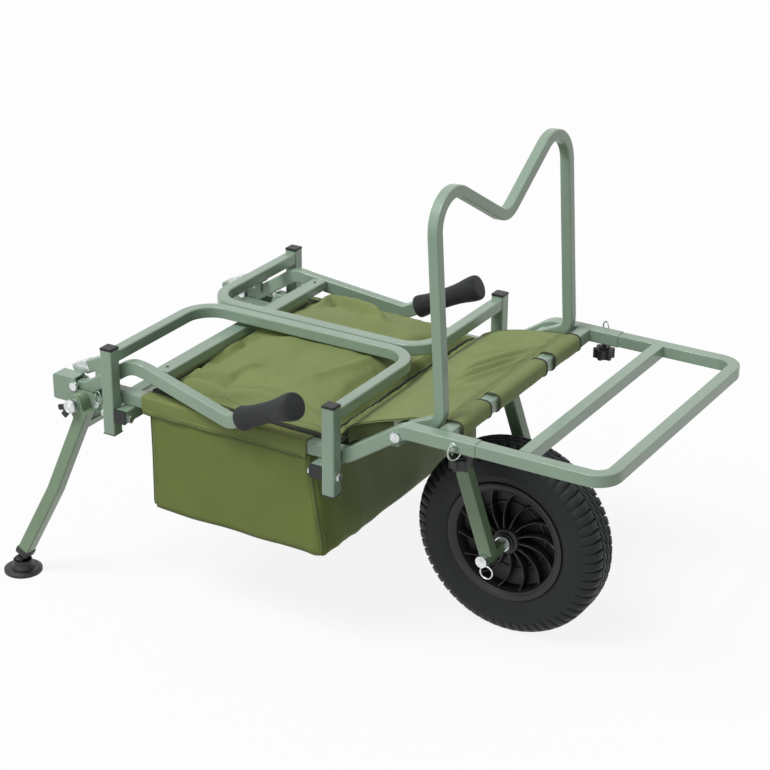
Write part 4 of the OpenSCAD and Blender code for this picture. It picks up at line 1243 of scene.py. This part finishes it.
class TROLLEY_OT_front_sheet(bpy.types.Operator):
    """Stretched sheet from the cover to the front cross member"""
    bl_idname = "trolley.front_sheet"
    bl_label = "Front sheet"

    def execute(self, context):
        bm = bmesh.new()
        for vert, u, v in grid(bm, 60, 130):
            x = mix(SHEET_BACK, SHEET_FRONT, u)
            y = mix(-sheet_half(x), sheet_half(x), v)
            vert.co = at(x, y, sheet_z(u, v) + self.wrinkle(x, y, u, v))
        made = piece(bm, "front_sheet", "sheet", replaces=["apron"], sharp=80, woven=True)
        thicken(made)
        self.seams(made)
        return {"FINISHED"}

    def wrinkle(self, x, y, u, v):
        """Pull folds, the slack between them and the puckers along the hem's seam."""
        near = hill(u, 0.45) * hill(v, 0.22)
        fine = noise.noise(Vector((x * 0.03, y * 0.012, 9)))
        pucker = 0.9 * sin(y * 0.16) * ridge(u, 1.0, 0.12)
        slot = -1.8 * (ridge(y, -112, 16) + ridge(y, 95, 16)) * ridge(u, 1.0, 0.1)
        return 2.2 * folded(x, y, SHEET_FOLDS) * min(1.0, near * 1.3) + 1.5 * fine * near + pucker + slot

    def seams(self, sheet):
        """Two rows of stitches behind the front edge, bound side edges and the gores."""
        skin = Skin(sheet)
        thread, tape = bmesh.new(), bmesh.new()
        for off in (8.0, 12.5):
            row = [skin.top(SHEET_FRONT - off, y, 0.0002) for y in range(-222, 223, 6)]
            add_stitches(thread, row, skin.facing)
        for side in (-1, 1):
            places = [mix(100, 292, k / 39) for k in range(40)]
            edge = [skin.top(x, side * (sheet_half(x) - 2.2)) for x in places]
            add_rod(tape, edge, 0.0014, sides=8)
        piece(thread, "front_sheet_stitches", "thread", sharp=60)
        piece(tape, "front_sheet_edge", "tape", sharp=60)
        for side, tag in ((-1, "near"), (1, "far")):
            self.gusset(side, tag)

    def gusset(self, side, tag):
        """Gore that hangs from the sheet's side, inside the rail, dark as painted shade under the sheet's
        edge.
        """
        bm = bmesh.new()
        for v, u, w in grid(bm, 30, 8):
            x = mix(104, 190, 1 - u if side > 0 else u)
            top = sheet_z(sheet_along(x), 0.5 + 0.5 * side * 0.97) - 2.2
            ripple = 1.6 * noise.noise(Vector((x * 0.04, w * 2, side * 5)))
            half = sheet_half(x) - 3.5 - (1 - w) * 6 + ripple * (1 - w)
            v.co = at(x, side * half, mix(top - 30, top, w))
        # dark binding finish: painted shade
        made = piece(bm, "sheet_gore_" + tag, "tape", sharp=80)
        thicken(made)


def soft_tube(bm, place, length, size, corner, seed, steps, slack):
    """A sleeve of cloth round a square tube; place maps (along, across, up), all in millimetres."""
    loops = []
    ring = rounded(size / 2, corner)
    for k in range(steps + 1):
        t = k / steps * length
        verts = []
        for a, b in ring:
            wave = noise.noise(Vector((t * 0.02 + seed, a * 0.05, b * 0.05)))
            grow = 1 + (slack * (0.6 + wave) * (0.5 + hill(k / steps, 0.2) * 0.5)) / (size / 2)
            verts.append(bm.verts.new(place @ Vector((t, a * grow, b * grow)) * MM))
        loops.append([bm.edges.new((p, q)) for p, q in zip(verts, verts[1:] + verts[:1])])
    for one, two in zip(loops, loops[1:]):
        bmesh.ops.bridge_loops(bm, edges=one + two)
    tidy(bm)


class TROLLEY_OT_sleeves(bpy.types.Operator):
    """Sleeves and flaps over both rails, and the hem round the front cross member"""
    bl_idname = "trolley.sleeves"
    bl_label = "Sleeves and hem"

    def execute(self, context):
        for side, tag in ((-1, "near"), (1, "far")):
            place = Matrix.Translation((SLEEVE_BACK, side * RAIL_Y, RAIL_Z))
            bm = bmesh.new()
            soft_tube(bm, place, SLEEVE_LENGTH, SLEEVE_SIZE, SLEEVE_CORNER, seed=side * 3.1, steps=72,
                      slack=0.9)
            made = piece(bm, "rail_hem_" + tag, "canvas", replaces=["rail_sleeve_" + tag], sharp=70,
                         woven=True)
            thicken(made)
            self.flap(side, tag)
        self.hem()
        return {"FINISHED"}

    def flap(self, side, tag):
        """The hem's free lower edge, a double layer with two rows of stitches."""
        bm = bmesh.new()
        for v, u, w in grid(bm, 120, 6):
            x = mix(-301, 48, u)
            z = mix(FLAP_LOW, FLAP_HIGH, w)
            wave = 0.9 * sin(x * 0.11 + 2 * sin(x * 0.02)) * (1 - w)
            ripple = wave + 0.5 * noise.noise(Vector((x * 0.05, z * 0.1, 2)))
            drop = 0.7 * noise.noise(Vector((x * 0.018, 0, 4))) * (1 - w)
            v.co = at(x, side * (FLAP_OUT + ripple), z + drop)
        bm.normal_update()
        if sum(f.normal.y for f in bm.faces) * side < 0:
            bmesh.ops.reverse_faces(bm, faces=bm.faces[:])
        made = piece(bm, "bag_flap_" + tag, "canvas", sharp=80, woven=True)
        thicken(made, 0.0022)
        skin = Skin(made)
        thread = bmesh.new()
        for z in (391.2, 394.4):
            add_stitches(thread, self.row(skin, side, z, range(-298, 46, 5), 0.0002), (0, side, 0))
        piece(thread, "bag_flap_stitches_" + tag, "thread", sharp=60)
        # dark rod along the flap's lower edge: painted shadow of the gap under it
        edge = bmesh.new()
        add_rod(edge, self.row(skin, side, 389.8, range(-299, 47, 5), 0.0), 0.0011, sides=6)
        piece(edge, "bag_flap_edge_" + tag, "tape", sharp=60)

    def row(self, skin, side, z, places, lift):
        """Spots on the flap's outer face at one height."""
        return [skin.side(at(x, side * 310, z), (0, -side, 0), lift) for x in places]

    def hem(self):
        """Three lengths round the front cross member."""
        bm = bmesh.new()
        tape = bmesh.new()
        turn = Matrix(((0, -1, 0, HEM_X), (1, 0, 0, 0), (0, 0, 1, HEM_Z), (0, 0, 0, 1)))
        for k, (y0, y1) in enumerate(HEM_LENGTHS):
            part = bmesh.new()
            place = turn @ Matrix.Translation((y0, 0, 0))
            soft_tube(part, place, y1 - y0, HEM_SIZE, HEM_CORNER, seed=k * 7.3,
                      steps=int((y1 - y0) / 4), slack=1.0)
            mesh = bpy.data.meshes.new("length")
            part.to_mesh(mesh)
            part.free()
            bm.from_mesh(mesh)
            bpy.data.meshes.remove(mesh)
            for y in (y0 + 1.2, y1 - 1.2):
                ring = [turn @ Vector((y, a, b)) * MM for a, b in rounded(15.9, HEM_CORNER)]
                add_rod(tape, ring, 0.0016, closed=True, sides=6)
        made = piece(bm, "front_hem", "sheet", replaces=["hem"], sharp=70, woven=True)
        thicken(made)
        piece(tape, "front_hem_edges", "webbing", sharp=60, woven=True)


# the far arm's outward bend, the grip's start counted from there, and their turns in degrees
ARM_BEND = (-300, 269, 465.6)
GRIP_START = (231, 0, -23.08)
ARM_TURN, GRIP_LEAN = 8.6, 26.2


class TROLLEY_OT_grips(bpy.types.Operator):
    """Flared foam grips"""
    bl_idname = "trolley.grips"
    bl_label = "Grips"

    def execute(self, context):
        outline = [(9.7, 0.4), (18.5, 0.0), (21.0, 0.8), (22.0, 3.0), (22.1, 8), (21.3, 15), (19.8, 24),
                   (19.0, 38), (18.8, 56), (18.9, 74), (19.6, 90), (21.2, 103), (23.2, 114), (24.6, 124),
                   (25.0, 131), (24.6, 136), (23.2, 139.6), (20.0, 140.8), (15.0, 140.4), (13.6, 140.7),
                   (6, 140.9), (0.0, 140.9), (0.0, 137.8), (9.7, 137.8)]
        lean = radians(GRIP_LEAN)
        for side, node in ((-1, "grip_near"), (1, "grip_far")):
            bm = bmesh.new()
            turn = Matrix.Rotation(radians(ARM_TURN) * side, 3, "Z")
            centre = on_side(ARM_BEND, side) + turn @ at(*GRIP_START)
            revolve(bm, outline, centre, turn @ Vector((cos(lean), 0, sin(lean))), steps=72)
            tidy(bm, 2e-6)
            piece(bm, "foam_" + node, "foam", "handle_body", [node], sharp=50)
        return {"FINISHED"}


# Stage

# the camera that was fitted to the photograph, in pixels, degrees and metres
PHOTO_WIDTH, FOCAL = 770, 2145.03
MIDDLE_X, MIDDLE_Y = 376.309, 385.791
AZIMUTH, ELEVATION, ROLL = 31.181, 24.145, 0.241
CAMERA_PLACE = (1.8724, -3.0652, 2.0165)
# a sensor's usual width in millimetres
SENSOR = 36


class TROLLEY_OT_stage(bpy.types.Operator):
    """Pale floor, soft light and the camera at the photograph's angle"""
    bl_idname = "trolley.stage"
    bl_label = "Stage"

    def execute(self, context):
        self.camera(context)
        self.floor(context)
        self.world(context)
        self.lamps(context)
        context.scene.view_settings.view_transform = "Standard"
        return {"FINISHED"}

    def camera(self, context):
        data = bpy.data.cameras.new("camera")
        data.sensor_fit = "HORIZONTAL"
        data.sensor_width = SENSOR
        data.lens = FOCAL / PHOTO_WIDTH * SENSOR
        data.shift_x = (PHOTO_WIDTH / 2 - MIDDLE_X) / PHOTO_WIDTH
        data.shift_y = (MIDDLE_Y - PHOTO_WIDTH / 2) / PHOTO_WIDTH
        data.clip_end = 200
        cam = bpy.data.objects.new("camera", data)
        az, el, roll = radians(AZIMUTH), radians(ELEVATION), radians(ROLL)
        back = Vector((sin(az) * cos(el), -cos(az) * cos(el), sin(el)))
        right = Vector((cos(az), sin(az), 0))
        up = back.cross(right)
        right, up = right * cos(roll) + up * sin(roll), up * cos(roll) - right * sin(roll)
        turn = Matrix((right, up, back)).transposed()
        cam.matrix_world = Matrix.Translation(CAMERA_PLACE) @ turn.to_4x4()
        context.scene.collection.objects.link(cam)
        context.scene.camera = cam

    def seen(self, p):
        """1 where the camera, or a mirror or glass on the way, looks at it."""
        path = p.tree.nodes.new("ShaderNodeLightPath")
        rays = [Signal(p, path.outputs[k]) for k in ("Is Camera Ray", "Is Glossy Ray", "Is Transmission Ray")]
        return rays[0].over(rays[1]).over(rays[2])

    def floor(self, context):
        bm = bmesh.new()
        bmesh.ops.create_grid(bm, x_segments=24, y_segments=24, size=30)
        mesh = bpy.data.meshes.new("floor")
        bm.to_mesh(mesh)
        bm.free()
        floor = bpy.data.objects.new("floor", mesh)
        # a hair below zero, where tyre and feet stand
        floor.location.z = -0.0003
        context.scene.collection.objects.link(floor)
        p = Paint("pale_floor")
        spots = p.cloud(p.place(), 3, 2)
        pale = p.blend(spots, (0.9, 0.9, 0.9), (0.92, 0.92, 0.92))
        # light that bounces off the floor on to the object is kept low, as in a studio with a far floor
        shown = p.blend(self.seen(p), (0.33, 0.37, 0.29), pale)
        matt = p.node("ShaderNodeBsdfDiffuse", None, {"Color": shown})
        white = p.node("ShaderNodeEmission", None, {"Color": (1, 1, 1, 1), "Strength": 1.0})
        both = p.node("ShaderNodeMixShader", None, {0: self.seen(p) * 0.87, 1: matt, 2: white})
        p.tree.links.new(both.socket, p.out.inputs[0])
        mesh.materials.append(p.material)

    def world(self, context):
        world = bpy.data.worlds.new("studio")
        context.scene.world = world
        p = Paint("studio", world)
        seen = self.seen(p)
        light = p.node("ShaderNodeBackground", None, {"Color": (1, 1, 1, 1), "Strength": 0.3})
        white = p.node("ShaderNodeBackground", None, {"Color": (1, 1, 1, 1), "Strength": 1.0})
        both = p.node("ShaderNodeMixShader", None, {0: seen, 1: light, 2: white})
        p.tree.links.new(both.socket, p.out.inputs[0])

    def lamps(self, context):
        for name, way, power, angle in (("key", (0.25, 0.55, -1.0), 2.3, 26),
                                        ("fill", (0.1, 1.0, -0.35), 0.3, 60)):
            data = bpy.data.lights.new(name, "SUN")
            data.energy, data.angle = power, radians(angle)
            lamp = bpy.data.objects.new(name, data)
            lamp.rotation_mode = "QUATERNION"
            lamp.rotation_quaternion = Vector(way).to_track_quat("-Z", "Y")
            context.scene.collection.objects.link(lamp)


# Add-on
STEPS = (TROLLEY_OT_stage, TROLLEY_OT_tubes, TROLLEY_OT_fasteners, TROLLEY_OT_rear_fittings,
         TROLLEY_OT_ring_pins, TROLLEY_OT_mouldings, TROLLEY_OT_tyre, TROLLEY_OT_rim, TROLLEY_OT_grips,
         TROLLEY_OT_bag, TROLLEY_OT_cover, TROLLEY_OT_front_sheet, TROLLEY_OT_sleeves)


class TROLLEY_PT_panel(bpy.types.Panel):
    """Everything the trolley is dressed with"""
    bl_idname = "TROLLEY_PT_panel"
    bl_label = "Trolley"
    bl_space_type = "VIEW_3D"
    bl_region_type = "UI"
    bl_category = "Trolley"

    def draw(self, context):
        for group in ("trolley_finish", "trolley_cloth", "trolley_wheel"):
            holder = getattr(context.scene, group)
            box = self.layout.box()
            for key in holder.__annotations__:
                box.prop(holder, key)
        for step in STEPS:
            self.layout.operator(step.bl_idname)


CLASSES = (TrolleyFinish, TrolleyCloth, TrolleyWheel, *STEPS, TROLLEY_PT_panel)


def register():
    for kind in CLASSES:
        bpy.utils.register_class(kind)
    bpy.types.Scene.trolley_finish = PointerProperty(type=TrolleyFinish)
    bpy.types.Scene.trolley_cloth = PointerProperty(type=TrolleyCloth)
    bpy.types.Scene.trolley_wheel = PointerProperty(type=TrolleyWheel)


def unregister():
    for name in ("trolley_finish", "trolley_cloth", "trolley_wheel"):
        delattr(bpy.types.Scene, name)
    for kind in reversed(CLASSES):
        bpy.utils.unregister_class(kind)


def main():
    register()
    for step in STEPS:
        group, name = step.bl_idname.split(".")
        getattr(getattr(bpy.ops, group), name)()


if __name__ == "__main__":
    main()
